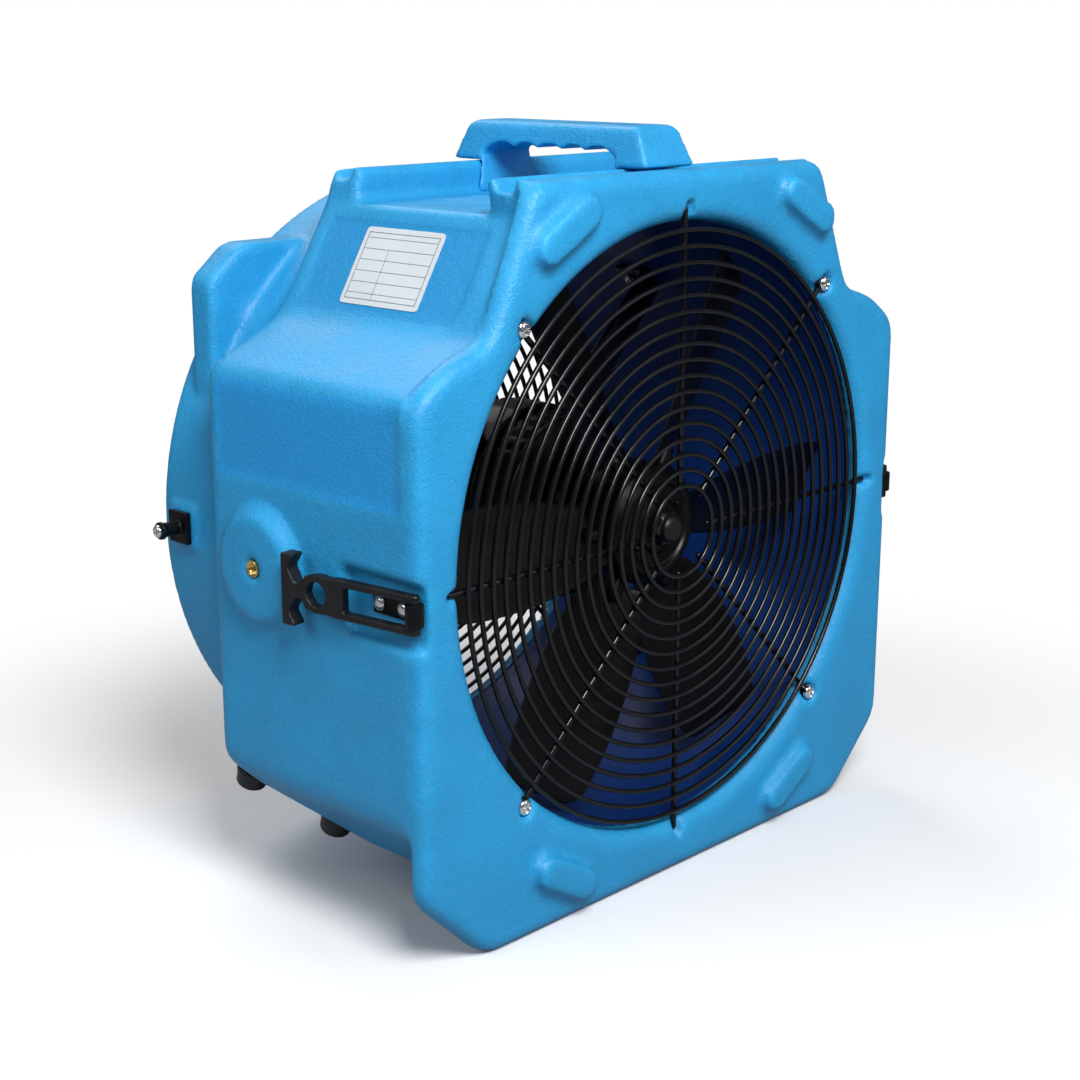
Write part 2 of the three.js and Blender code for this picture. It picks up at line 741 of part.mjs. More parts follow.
// A rubber strap with its bar at the origin, an eye, and a cross handle at its far end.
function latchStrap(side) {
  const half = strapHalfWidth;
  const neck = 0.4 * half;
  const body = outline([
    [0, -half],
    [eyeAlongStrap - 14, -half],
    [eyeAlongStrap - 10, 1 - half],
    [eyeAlongStrap, -half],
    [eyeAlongStrap + 9, 2 - half],
    [eyeAlongStrap + 12, -neck],
    [teeAlongStrap + 1, -neck],
    [teeAlongStrap + 1, neck],
    [eyeAlongStrap + 12, neck],
    [eyeAlongStrap + 9, half - 2],
    [eyeAlongStrap, half],
    [eyeAlongStrap - 10, half - 1],
    [eyeAlongStrap - 14, half],
    [0, half],
  ], 3);
  const tee = outline([
    [teeAlongStrap - 2, -teeHalfHeight],
    [teeAlongStrap + teeDepth, -teeHalfHeight],
    [teeAlongStrap + teeDepth, teeHalfHeight],
    [teeAlongStrap - 2, teeHalfHeight],
    [teeAlongStrap + 0.4 * teeDepth, 0.6 * teeHalfHeight],
    [teeAlongStrap - 1, neck + 1],
    [teeAlongStrap - 1, -neck - 1],
    [teeAlongStrap + 0.4 * teeDepth, -0.6 * teeHalfHeight],
  ], 2);
  const slotHalf = bracketWidth / 2 + 0.8;
  const slot = box([-strapThickness, strapThickness], [-strapThickness, eyeAlongStrap - 22],
    [-slotHalf, slotHalf]);
  const eye = barX(strapEyeRadius, -strapThickness, strapThickness, eyeAlongStrap);
  const bar = barZ(latchBarRadius, -half, half);
  const strap = join(
    cut(sideways(body, strapThickness / 2), slot, eye),
    sideways(tee, strapThickness / 2 + 1.5),
    bar,
  );
  return side > 0 ? strap : strap.mirror([1, 0, 0]);
}

// A rivet or screw-like pin with a domed head at y < 0 and a shank along +Y.
function rivet() {
  return solid(turned([
    [0, -2.6],
    [0.75 * rivetHead, -1.9],
    [rivetHead, 0],
    [rivetShank, 0],
    [rivetShank, bracketThickness + shellWall + 2],
    [0, bracketThickness + shellWall + 2],
  ], 10));
}

function keeper(side) {
  const face = shroudRadius + keeperPad + clearance;
  const [depth, height] = keeperPlate;
  const plate = box([face, face + 4], about(keeperDepthAt, [-depth / 2, depth / 2]),
    about(keeperRise, [-height / 2, height / 2]));
  const post = barX(keeperPostRadius, face + 3, face + 4 + keeperPostLength, keeperDepthAt, keeperRise);
  const lip = barX(keeperPostRadius + 1.2, face + 1 + keeperPostLength, face + 4 + keeperPostLength,
    keeperDepthAt, keeperRise);
  const pieces = [plate, post, lip].map((piece) => onSide(side, piece));
  return cut(join(...pieces), keeperHole(side));
}

// ---------------------------------------------------------------- feet and inserts
// Middles of the four bumper feet on the rising underside.
function footPlaces() {
  const rise = (y) => (y - riseStart) * riseSlope;
  const rows = [riseStart + 31, housingRear - footRadius - footEdge].map((y) => {
    const flatHalf = halfWidth - Math.max(0, podChamfer - rise(y));
    return [flatHalf - footRadius - footEdge, y];
  });
  return rows.flatMap(([x, y]) => [-1, 1].map((side) => new THREE.Vector3(side * x, y, underside + rise(y))));
}

const footTurn = Math.atan(riseSlope) - Math.PI / 2;

function footHole(place) {
  return disc(footStem + clearance, -shellWall - 10, 5, 12).rotateX(footTurn)
    .translate(place.x, place.y, place.z);
}

// A tapered rubber bumper: its seat at y = 0, its stem behind and its tip at +Y.
function bumperFoot() {
  return solid(turned([
    [0, -shellWall - 4],
    [footStem, -shellWall - 4],
    [footStem, clearance],
    [footRadius, clearance],
    [footRadius, 4],
    [footTipRadius, footHeight - 2],
    [footTipRadius - 2, footHeight],
    [0, footHeight],
  ], 14));
}

// A threaded brass insert, flush with its boss.
function pivotInsert(side) {
  const face = halfWidth + bossHeight;
  const bush = cut(
    barX(insertRadius, face - insertLength, face, bossDepthAt, bossRise),
    barX(insertBore, face - insertLength - 1, face + 1, bossDepthAt, bossRise),
  );
  return side > 0 ? bush : bush.mirror([1, 0, 0]);
}

// ---------------------------------------------------------------- controls
function controlRecess() {
  const [depth, height] = plateSize;
  const y = about(plateCentre[0], [-depth / 2, depth / 2]);
  const z = about(plateCentre[1], [-height / 2, height / 2]);
  const shrunk = ([low, high]) => [low + 7, high - 7];
  return [
    box([halfWidth - plateThickness - clearance, halfWidth + 1], y, z),
    box([halfWidth - 2 * shellWall, halfWidth + 1], shrunk(y), shrunk(z)),
  ];
}

const switchPlace = [plateCentre[0] - 20, plateCentre[1]];
const resetPlace = [plateCentre[0] + 4, plateCentre[1] + 12];
const glandPlace = [plateCentre[0] + 20, plateCentre[1] - 8];
const switchPivotX = halfWidth - plateThickness;

// A plate with a well for the rocker, and holes for the reset button and the cord gland.
function controlPlate() {
  const [depth, height] = plateSize;
  const plate = box([halfWidth - plateThickness, halfWidth],
    about(plateCentre[0], [clearance - depth / 2, depth / 2 - clearance]),
    about(plateCentre[1], [clearance - height / 2, height / 2 - clearance]));
  const wellHalf = [switchRadius + clearance + 2, switchLength / 2 + clearance + 2];
  const wellFloor = switchPivotX - switchRadius - clearance - 2;
  const around = (grow, floor) => box([floor, halfWidth + (grow < 0 ? 1 : 0)],
    about(switchPlace[0], [-wellHalf[0] - grow, wellHalf[0] + grow]),
    about(switchPlace[1], [-wellHalf[1] - grow, wellHalf[1] + grow]));
  return cut(join(plate, around(0, wellFloor)), around(-2, wellFloor + 2),
    barX(resetRadius + clearance, halfWidth - 20, halfWidth + 5, ...resetPlace),
    barX(glandRadius + clearance, halfWidth - 20, halfWidth + 5, ...glandPlace, 14));
}

// A rocker about its own pivot: round at the back, with two flats that meet in a shallow valley.
function powerRocker() {
  const profile = new THREE.Shape();
  const flat = THREE.MathUtils.degToRad(60);
  profile.moveTo(...polar(switchRadius, flat));
  profile.absarc(0, 0, switchRadius, flat, 2 * Math.PI - flat, false);
  profile.lineTo(0.32 * switchRadius, 0);
  profile.closePath();
  const rocker = new THREE.ExtrudeGeometry(profile, {
    depth: switchLength, bevelEnabled: false, curveSegments: 12,
  });
  return solid(rocker.translate(0, 0, -switchLength / 2));
}

function resetButton() {
  return solid(barX(resetRadius, halfWidth - plateThickness - 6, halfWidth + resetStand, ...resetPlace));
}

function cordGland() {
  return solid(turned([
    [0, -8],
    [glandRadius, -8],
    [glandRadius, clearance],
    [glandRadius + 3.5, clearance],
    [glandRadius + 3.5, 5],
    [glandRadius - 1, 7],
    [glandRadius - 3, 13],
    [0, 13],
  ], 14));
}

// A flat block on the upper chamfer on the left: its middle is at a depth, a way up the chamfer
// and a way out of it.
function onChamfer(depthAt, along, outwards, thickness, size) {
  const lower = new THREE.Vector2(...crown);
  const up = new THREE.Vector2(deckHalf, deck).sub(lower).normalize();
  const out = new THREE.Vector2(up.y, -up.x);
  const middle = lower.addScaledVector(up, along).addScaledVector(out, outwards);
  const block = aimed(new THREE.BoxGeometry(thickness, ...size), out.angle());
  return onSide(-1, block.translate(middle.x, depthAt, middle.y));
}

function labelField() {
  const middle = ([low, high]) => (low + high) / 2;
  const size = [fieldDepths, fieldAlong].map(([low, high]) => high - low);
  return onChamfer(middle(fieldDepths), middle(fieldAlong), 5 - fieldRecess, 10, size);
}

// A blank plate stuck in the field.
function ratingLabel() {
  const outwards = clearance + labelThickness / 2 - fieldRecess;
  return solid(onChamfer(labelDepthAt, labelAlong, outwards, labelThickness, labelSize));
}

// ---------------------------------------------------------------- finishes
const finishes = {
  blue: { color: 0x3f9fdc, roughness: 0.55, metalness: 0 },
  ductBlue: { color: 0x1d5fa8, roughness: 0.6, metalness: 0 },
  wire: { color: 0x101112, roughness: 0.4, metalness: 0.3 },
  blackPlastic: { color: 0x141516, roughness: 0.5, metalness: 0 },
  rubber: { color: 0x121212, roughness: 0.75, metalness: 0 },
  chrome: { color: 0xd9dcdf, roughness: 0.15, metalness: 1 },
  steel: { color: 0x8d9196, roughness: 0.35, metalness: 1 },
  motorPaint: { color: 0x1b1c1e, roughness: 0.45, metalness: 0.2 },
  copper: { color: 0xa8683a, roughness: 0.4, metalness: 0.8 },
  brass: { color: 0xc9a24a, roughness: 0.3, metalness: 1 },
  red: { color: 0xc0241c, roughness: 0.4, metalness: 0 },
  label: { color: 0xeef0f1, roughness: 0.35, metalness: 0 },
};

// ---------------------------------------------------------------- assembly
const root = new THREE.Group();
root.position.set(0, (padHeight - bodyDepth) / 2, axisHeight);

function place(name, shape, finish, position = [0, 0, 0], rotation = [0, 0, 0]) {
  const { vertProperties, triVerts, numProp } = solid(shape).getMesh();
  const geometry = new THREE.BufferGeometry();
  const corners = new Float32Array(vertProperties.length / numProp * 3);
  for (let i = 0; i < corners.length / 3; i += 1) {
    corners.set(vertProperties.subarray(i * numProp, i * numProp + 3), 3 * i);
  }
  geometry.setAttribute('position', new THREE.BufferAttribute(corners, 3));
  geometry.setIndex(new THREE.BufferAttribute(new Uint32Array(triVerts), 1));
  geometry.computeVertexNormals();
  const mesh = new THREE.Mesh(geometry, new THREE.MeshStandardMaterial(finishes[finish]));
  mesh.name = name;
  mesh.position.set(...position);
  mesh.rotation.set(...rotation);
  root.add(mesh);
}

place('front_panel', frontPanel(), 'blue');
place('main_housing', mainHousing(), 'blue');
place('rear_shroud', rearShroud(), 'blue');
place('duct_sleeve', ductSleeve(), 'ductBlue');
place('carry_handle', carryHandle(), 'blue');

place('front_guard', guard(0, 1), 'wire');
place('rear_guard', guard(bodyDepth, -1), 'wire');
diagonals.forEach((angle, i) => {
  const [x, z] = polar(seatRadius, angle);
  const head = spokeDepth - spokeWire - clearance;
  place(`front_guard_screw_${i + 1}`, panScrew(), 'chrome', [x, head, z]);
  place(`rear_guard_screw_${i + 1}`, panScrew(), 'chrome', [x, bodyDepth - head, z], [Math.PI, 0, 0]);
});

place('fan_hub', fanHub(), 'blackPlastic');
for (let i = 0; i < bladeCount; i += 1) {
  place(`fan_blade_${i + 1}`, fanBlade(), 'blackPlastic', [0, 0, 0], [0, -bladeAngle(i), 0]);
}
place('fan_nut', fanNut(), 'motorPaint');
place('motor_shaft', motorShaft(), 'steel');
place('motor_rotor', motorRotor(), 'steel');
place('motor_stator', motorStator(), 'copper');
place('motor_shell', motorShell(), 'motorPaint');
place('front_end_bell', endBell(-1), 'motorPaint');
place('rear_end_bell', endBell(1), 'motorPaint');
place('front_bearing', bearing(-1), 'steel');
place('rear_bearing', bearing(1), 'steel');
place('motor_mount', motorMount(), 'motorPaint');
place('run_capacitor', capacitor(), 'blackPlastic');
diagonals.forEach((angle, i) => {
  const head = openingRadius - 1 - mountPlate - clearance;
  const [x, z] = polar(head, angle);
  place(`mount_screw_${i + 1}`, panScrew(11), 'steel', [x, mountScrewDepth, z], [0, -angle, -Math.PI / 2]);
});

for (const [side, hand] of [[-1, 'left'], [1, 'right']]) {
  const towardsMiddle = [0, 0, side * Math.PI / 2];
  const rivetX = side * (channelFloor + 2 * clearance + bracketThickness);
  const tipX = side * (shroudRadius + keeperPad + 2 * clearance + 4 + keeperPostLength);
  place(`latch_strap_${hand}`, latchStrap(side), 'rubber',
    [side * pivotX, latchPivotDepth, latchRise], [0, 0, -side * strapTilt]);
  place(`latch_bracket_${hand}`, latchBracket(side), 'blackPlastic');
  rivetDepths.forEach((depth, i) => {
    place(`latch_rivet_${hand}_${i + 1}`, rivet(), 'chrome', [rivetX, depth, latchRise], towardsMiddle);
  });
  place(`keeper_${hand}`, keeper(side), 'blackPlastic');
  place(`keeper_screw_${hand}`, panScrew(24, keeperScrewHead), 'chrome', [tipX, keeperDepthAt, keeperRise], towardsMiddle);
  place(`pivot_insert_${hand}`, pivotInsert(side), 'brass');
}

footPlaces().forEach((spot, i) => {
  place(`bumper_foot_${i + 1}`, bumperFoot(), 'rubber', spot.toArray(), [footTurn, 0, 0]);
});

place('control_plate', controlPlate(), 'blackPlastic');
place('power_rocker', powerRocker(), 'red', [switchPivotX, ...switchPlace], [0, 0, -rockerThrow]);
place('reset_button', resetButton(), 'red');
place('cord_gland', cordGland(), 'blackPlastic', [halfWidth, ...glandPlace], [0, 0, -Math.PI / 2]);

place('rating_label', ratingLabel(), 'label');

export default root;
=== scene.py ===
"""Looks of a car dryer blower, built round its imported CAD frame.

The moulded blue body is one smooth surface cut into its three mouldings, and the guards, fan,
motor, latches, keepers, feet, screws and controls are surfaces worked out from the frame.
Lengths are in metres, +Z is up, and the guarded front of the duct faces -Y.
"""

import json
import logging
import math
from dataclasses import dataclass, field
from enum import Enum

import bmesh
import bpy
import numpy as np
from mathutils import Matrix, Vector


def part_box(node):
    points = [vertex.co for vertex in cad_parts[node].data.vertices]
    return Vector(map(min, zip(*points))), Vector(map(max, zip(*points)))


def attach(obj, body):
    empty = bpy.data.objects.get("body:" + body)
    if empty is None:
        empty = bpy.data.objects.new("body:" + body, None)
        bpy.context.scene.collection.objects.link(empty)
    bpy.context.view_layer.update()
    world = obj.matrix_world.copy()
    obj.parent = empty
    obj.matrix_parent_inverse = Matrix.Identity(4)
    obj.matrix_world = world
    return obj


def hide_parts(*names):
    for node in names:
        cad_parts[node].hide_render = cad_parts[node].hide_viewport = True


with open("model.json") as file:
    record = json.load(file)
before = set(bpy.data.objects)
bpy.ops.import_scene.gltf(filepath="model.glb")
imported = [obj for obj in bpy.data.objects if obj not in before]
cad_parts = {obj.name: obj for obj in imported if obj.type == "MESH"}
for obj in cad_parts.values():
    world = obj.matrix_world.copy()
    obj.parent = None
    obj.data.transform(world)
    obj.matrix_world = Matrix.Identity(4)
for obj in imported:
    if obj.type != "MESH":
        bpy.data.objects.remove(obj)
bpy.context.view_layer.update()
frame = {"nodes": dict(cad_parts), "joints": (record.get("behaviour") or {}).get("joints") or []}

log = logging.getLogger("blower")

MM = 0.001
SIDES = {"left": -1, "right": 1}
DIAGONALS = np.radians([45, 135, 225, 315])
UPRIGHTS = np.radians([0, 90, 180, 270])
GAP = 0.3 * MM
PAD_HEIGHT = 9 * MM
SLEEVE_WALL = 4 * MM


class Slot(Enum):
    """The record's material slots."""

    HOUSING = "housing_blue"
    DUCT = "duct_blue"
    WIRE = "guard_wire"
    PLASTIC = "black_plastic"
    RUBBER = "rubber"
    CHROME = "chrome"
    STEEL = "steel"
    MOTOR = "motor_paint"
    COPPER = "copper"
    BRASS = "brass"
    RED = "red"
    LABEL = "label"


class Body(Enum):
    """The frame's moving bodies."""

    HOUSING = "housing"
    FAN = "fan"
    LATCH_LEFT = "latch_left"
    LATCH_RIGHT = "latch_right"
    ROCKER = "power_rocker"
    RESET = "reset_button"


# ---------------------------------------------------------------- places from the frame
def points_of(mesh: bpy.types.Mesh) -> np.ndarray:
    """A mesh's points, as an (n, 3) array."""
    points = np.empty(3 * len(mesh.vertices))
    mesh.vertices.foreach_get("co", points)
    return points.reshape(-1, 3)


def move_points(mesh: bpy.types.Mesh, points: np.ndarray) -> None:
    """Puts a mesh's points at new places."""
    mesh.vertices.foreach_set("co", points.ravel())
    mesh.update()


def corners(node: str) -> np.ndarray:
    """The different corners of a CAD node.

    Args:
        node: the node's name.

    Returns:
        An (n, 3) array of points.
    """
    return np.unique(points_of(frame["nodes"][node].data).round(6), axis=0)


@dataclass(frozen=True)
class Layout:
    """The duct's main places, read from the frame."""

    axis_height: float
    front: float
    rear: float
    bore: float
    panel_back: float
    shroud_front: float

    @classmethod
    def from_frame(cls) -> "Layout":
        """Reads the places from the CAD nodes and the fan's joint."""
        spin = next(j for j in frame["joints"] if j["name"] == "fan_spin")
        return cls(
            axis_height=spin["pos_m"][2],
            front=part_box("front_panel")[0].y + PAD_HEIGHT,
            rear=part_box("rear_shroud")[1].y,
            bore=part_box("duct_sleeve")[1].x - SLEEVE_WALL,
            panel_back=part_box("main_housing")[0].y - GAP / 2,
            shroud_front=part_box("rear_shroud")[0].y - GAP / 2,
        )

    def point(self, across: float, depth: float, up: float) -> np.ndarray:
        """A place given from the middle of the front opening."""
        return np.array([across, self.front + depth, self.axis_height + up])

    def about_axis(self, radius: float, angle: float, depth: float) -> np.ndarray:
        """A place at a radius and angle about the fan axis."""
        return self.point(radius * math.cos(angle), depth, radius * math.sin(angle))


LAYOUT = Layout.from_frame()


def depths_of(node: str) -> tuple[float, float]:
    """A node's lowest and highest depth behind the front face."""
    low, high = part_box(node)
    return low.y - LAYOUT.front, high.y - LAYOUT.front


# ---------------------------------------------------------------- surfaces
@dataclass
class Surface:
    """Points and four-sided faces, gathered from one or more grids."""

    points: list[np.ndarray] = field(default_factory=list)
    faces: list[np.ndarray] = field(default_factory=list)
    count: int = 0

    def add(self, points: np.ndarray, faces: np.ndarray) -> "Surface":
        """Adds points and the faces that join them, and returns the surface."""
        self.points.append(points.reshape(-1, 3))
        self.faces.append(faces + self.count)
        self.count += len(self.points[-1])
        return self

    def add_grid(self, grid: np.ndarray, round_first: bool, round_second: bool) -> "Surface":
        """Adds a grid of points as a skin of four-sided faces.

        Args:
            grid: points by first and second parameter, (n, m, 3).
            round_first: whether the last row joins the first one.
            round_second: whether the last column joins the first one.

        Returns:
            The surface.
        """
        rows, columns = grid.shape[:2]
        first = np.arange(rows if round_first else rows - 1)
        second = np.arange(columns if round_second else columns - 1)
        i, j = np.meshgrid(first, second, indexing="ij")
        ahead, beside = (i + 1) % rows, (j + 1) % columns
        ring = [i * columns + j, ahead * columns + j, ahead * columns + beside, i * columns + beside]
        return self.add(grid, np.stack(ring, -1).reshape(-1, 4))

    def mesh(self, name: str) -> bpy.types.Mesh:
        """Writes the surface to a mesh, with poles closed and faces pointing out.

        Args:
            name: the mesh's name.

        Returns:
            The mesh, shaded smooth except at its sharp edges.
        """
        points = np.concatenate(self.points)
        faces = np.concatenate(self.faces)
        mesh = bpy.data.meshes.new(name)
        mesh.vertices.add(len(points))
        mesh.vertices.foreach_set("co", points.astype(np.float32).ravel())
        mesh.loops.add(faces.size)
        mesh.loops.foreach_set("vertex_index", faces.astype(np.int32).ravel())
        mesh.polygons.add(len(faces))
        mesh.polygons.foreach_set("loop_start", np.arange(0, faces.size, 4, dtype=np.int32))
        mesh.update(calc_edges=True)
        built = bmesh.new()
        built.from_mesh(mesh)
        bmesh.ops.remove_doubles(built, verts=built.verts, dist=1e-6)
        bmesh.ops.dissolve_degenerate(built, edges=built.edges, dist=1e-7)
        bmesh.ops.recalc_face_normals(built, faces=built.faces)
        built.to_mesh(mesh)
        built.free()
        return shaded(mesh)


def shaded(mesh: bpy.types.Mesh, sharp_above: float = 38.0) -> bpy.types.Mesh:
    """Shades a mesh smooth, apart from edges that turn by more than an angle in degrees."""
    mesh.shade_smooth()
    mesh.set_sharp_from_angle(angle=math.radians(sharp_above))
    return mesh


def axes_of(axis: np.ndarray) -> tuple[np.ndarray, np.ndarray, np.ndarray]:
    """Two directions square to an axis, and the axis itself, all of unit length."""
    along = np.asarray(axis, float) / np.linalg.norm(axis)
    helper = np.array([0.0, 0.0, 1.0]) if abs(along[2]) < 0.9 else np.array([1.0, 0.0, 0.0])
    across = np.cross(helper, along)
    across /= np.linalg.norm(across)
    return across, np.cross(along, across), along


def turned(profile: np.ndarray, origin: np.ndarray, axis: np.ndarray, segments: int = 48) -> np.ndarray:
    """A profile carried round an axis: origin + height * axis + radius * (cos a, sin a).

    Args:
        profile: (n, 2) points of [radius, height along the axis].
        origin: where the heights start.
        axis: the direction of the axis.
        segments: how many steps the turn has.

    Returns:
        An (n, segments, 3) grid, which is round in its second parameter.
    """
    across, up, along = axes_of(axis)
    angle = np.arange(segments) * 2 * np.pi / segments
    spoke = np.cos(angle)[:, None] * across + np.sin(angle)[:, None] * up
    radius, height = np.asarray(profile, float).T
    return origin + height[:, None, None] * along + radius[:, None, None] * spoke


def spun(profile: np.ndarray, steps: int = 72) -> np.ndarray:
    """A profile of [radius, depth] carried round the fan axis, as turned gives it."""
    return turned(profile, LAYOUT.point(0, 0, 0), (0, 1, 0), steps)


def rounded(profile: list[tuple[float, float]], radius: float, steps: int = 4) -> np.ndarray:
    """An open profile with each inner corner replaced by a quadratic curve.

    Args:
        profile: corner points.
        radius: how far from a corner its curve starts, at most.
        steps: how many points follow the first on each curve.

    Returns:
        An (n, 2) array of points.
    """
    points = np.asarray(profile, float)
    made = [points[:1]]
    share = np.linspace(0, 1, steps + 1)[:, None]
    for before, here, after in zip(points, points[1:], points[2:]):
        back, ahead = before - here, after - here
        reach = min(radius, np.linalg.norm(back) / 2.1, np.linalg.norm(ahead) / 2.1)
        start = here + back / np.linalg.norm(back) * reach
        end = here + ahead / np.linalg.norm(ahead) * reach
        made.append((1 - share) ** 2 * start + 2 * share * (1 - share) * here + share**2 * end)
    made.append(points[-1:])
    return np.concatenate(made)


def swept(path: np.ndarray, radius: np.ndarray, closed: bool, sides: int = 10) -> np.ndarray:
    """A round section carried along a path, square to it: point + r * (cos a, sin a).

    Args:
        path: (n, 3) points.
        radius: the section's radius at each point.
        closed: whether the path joins its own start.
        sides: how many sides the section has.

    Returns:
        An (n, sides, 3) grid, which is round in its second parameter.
    """
    if closed:
        tangent = np.roll(path, -1, 0) - np.roll(path, 1, 0)
    else:
        tangent = np.gradient(path, axis=0)
    tangent /= np.linalg.norm(tangent, axis=1)[:, None]
    depth = np.array([0.0, 1.0, 0.0])
    beside = np.cross(tangent, depth)
    beside /= np.linalg.norm(beside, axis=1)[:, None]
    over = np.cross(tangent, beside)
    angle = np.arange(sides) * 2 * np.pi / sides
    ring = np.cos(angle)[None, :, None] * beside[:, None] + np.sin(angle)[None, :, None] * over[:, None]
    return path[:, None] + radius[:, None, None] * ring


def rod(start: np.ndarray, end: np.ndarray, radius: float, sides: int = 12) -> np.ndarray:
    """A straight bar with domed ends, as a turned grid from start to end."""
    length = float(np.linalg.norm(end - start))
    quarter = np.linspace(0, np.pi / 2, 5)
    near = np.stack([radius * np.sin(quarter), radius * (1 - np.cos(quarter))], -1)
    far = np.stack([radius * np.cos(quarter), length - radius * (1 - np.sin(quarter))], -1)
    return turned(np.concatenate([near, far]), start, end - start, sides)


# ---------------------------------------------------------------- moulded surfaces
def merged_copy(nodes: list[str], name: str, lap: float = 0.0) -> bpy.types.Mesh:
    """CAD nodes as one mesh with shared corners merged.

    Args:
        nodes: the nodes' names, from front to rear.
        name: the mesh's name.
        lap: how far each node's front face is carried forward into the node before it.

    Returns:
        The mesh.
    """
    built = bmesh.new()
    for node in nodes:
        piece = bmesh.new()
        piece.from_mesh(frame["nodes"][node].data)
        bmesh.ops.remove_doubles(piece, verts=piece.verts, dist=1e-6)
        if node != nodes[0]:
            front = min(vertex.co.y for vertex in piece.verts)
            for vertex in piece.verts:
                if vertex.co.y < front + 0.1 * MM:
                    vertex.co.y -= lap
        part = bpy.data.meshes.new(node)
        piece.to_mesh(part)
        piece.free()
        built.from_mesh(part)
        bpy.data.meshes.remove(part)
    mesh = bpy.data.meshes.new(name)
    built.to_mesh(mesh)
    built.free()
    return mesh


def softened(mesh: bpy.types.Mesh, voxel: float, passes: int) -> bpy.types.Mesh:
    """A mesh rebuilt as an even skin, then relaxed so that its edges and corners round off.

    Args:
        mesh: a closed mesh, which is used up.
        voxel: the size of the skin's faces.
        passes: how often each point moves halfway to the mean of its neighbours.

    Returns:
        The new mesh, shaded smooth.
    """
    holder = bpy.data.objects.new(mesh.name, mesh)
    bpy.context.scene.collection.objects.link(holder)
    skin = holder.modifiers.new("skin", "REMESH")
    skin.mode = "VOXEL"
    skin.voxel_size = voxel
    relax = holder.modifiers.new("relax", "SMOOTH")
    relax.factor = 0.5
    relax.iterations = passes
    evaluated = holder.evaluated_get(bpy.context.evaluated_depsgraph_get())
    made = bpy.data.meshes.new_from_object(evaluated)
    made.name = mesh.name
    bpy.data.objects.remove(holder)
    bpy.data.meshes.remove(mesh)
    made.shade_smooth()
    return made


def rounded_out(mesh: bpy.types.Mesh, facets: int, inner: float, outer: float) -> None:
    """Moves points on faceted round walls out to the true circle about the fan axis.

    A facet's distance from the axis is the radius times cos(half a facet) / cos(angle from the
    facet's middle), so each point is scaled by the inverse, fading out between two radii.

    Args:
        mesh: the mesh to change.
        facets: how many facets the round walls have.
        inner: up to this radius the correction is whole.
        outer: from this radius there is none.
    """
    points = points_of(mesh)
    across, up = points[:, 0], points[:, 2] - LAYOUT.axis_height
    half = np.pi / facets
    angle = np.mod(np.arctan2(up, across), 2 * half) - half
    share = np.clip((outer - np.hypot(across, up)) / (outer - inner), 0, 1)
    grow = 1 + share * (np.cos(angle) / np.cos(half) - 1)
    points[:, 0] = across * grow
    points[:, 2] = up * grow + LAYOUT.axis_height
    move_points(mesh, points)


def eased(mesh: bpy.types.Mesh, share: np.ndarray, passes: int) -> None:
    """Relaxes some of a mesh more than the rest: p <- p + share * (mean of neighbours - p) / 2.

    Args:
        mesh: the mesh to change.
        share: how strongly each point moves, from 0 to 1.
        passes: how many times.
    """
    points = points_of(mesh)
    count = len(points)
    ends = np.empty(2 * len(mesh.edges), np.int32)
    mesh.edges.foreach_get("vertices", ends)
    first, second = ends.reshape(-1, 2).T
    near = np.isin(first, np.flatnonzero(share)) | np.isin(second, np.flatnonzero(share))
    first, second = first[near], second[near]
    links = np.maximum(np.bincount(first, minlength=count) + np.bincount(second, minlength=count), 1)
    for _ in range(passes):
        for axis in range(3):
            value = points[:, axis]
            total = np.bincount(first, value[second], count) + np.bincount(second, value[first], count)
            points[:, axis] = value + share * (total / links - value) / 2
    move_points(mesh, points)


def slab(mesh: bpy.types.Mesh, name: str, low: float, high: float) -> bpy.types.Mesh:
    """The part of a closed mesh between two depths, with its cut ends filled.

    Args:
        mesh: the whole mesh, which is kept.
        name: the new mesh's name.
        low: the depth where it starts.
        high: the depth where it ends.

    Returns:
        The new mesh, shaded smooth up to the cuts.
    """
    built = bmesh.new()
    built.from_mesh(mesh)
    for depth, outward in ((low, -1), (high, 1)):
        everything = list(built.verts) + list(built.edges) + list(built.faces)
        cut = bmesh.ops.bisect_plane(
            built, geom=everything, dist=1e-7, plane_co=(0, depth, 0), plane_no=(0, outward, 0),
            clear_outer=True,
        )
        rim = [item for item in cut["geom_cut"] if isinstance(item, bmesh.types.BMEdge)]
        open_rim = [edge for edge in rim if edge.is_valid and edge.is_boundary]
        if open_rim:
            bmesh.ops.triangle_fill(built, edges=open_rim, use_beauty=False, use_dissolve=False)
    bmesh.ops.recalc_face_normals(built, faces=built.faces)
    made = bpy.data.meshes.new(name)
    built.to_mesh(made)
    built.free()
    return shaded(made, 60)


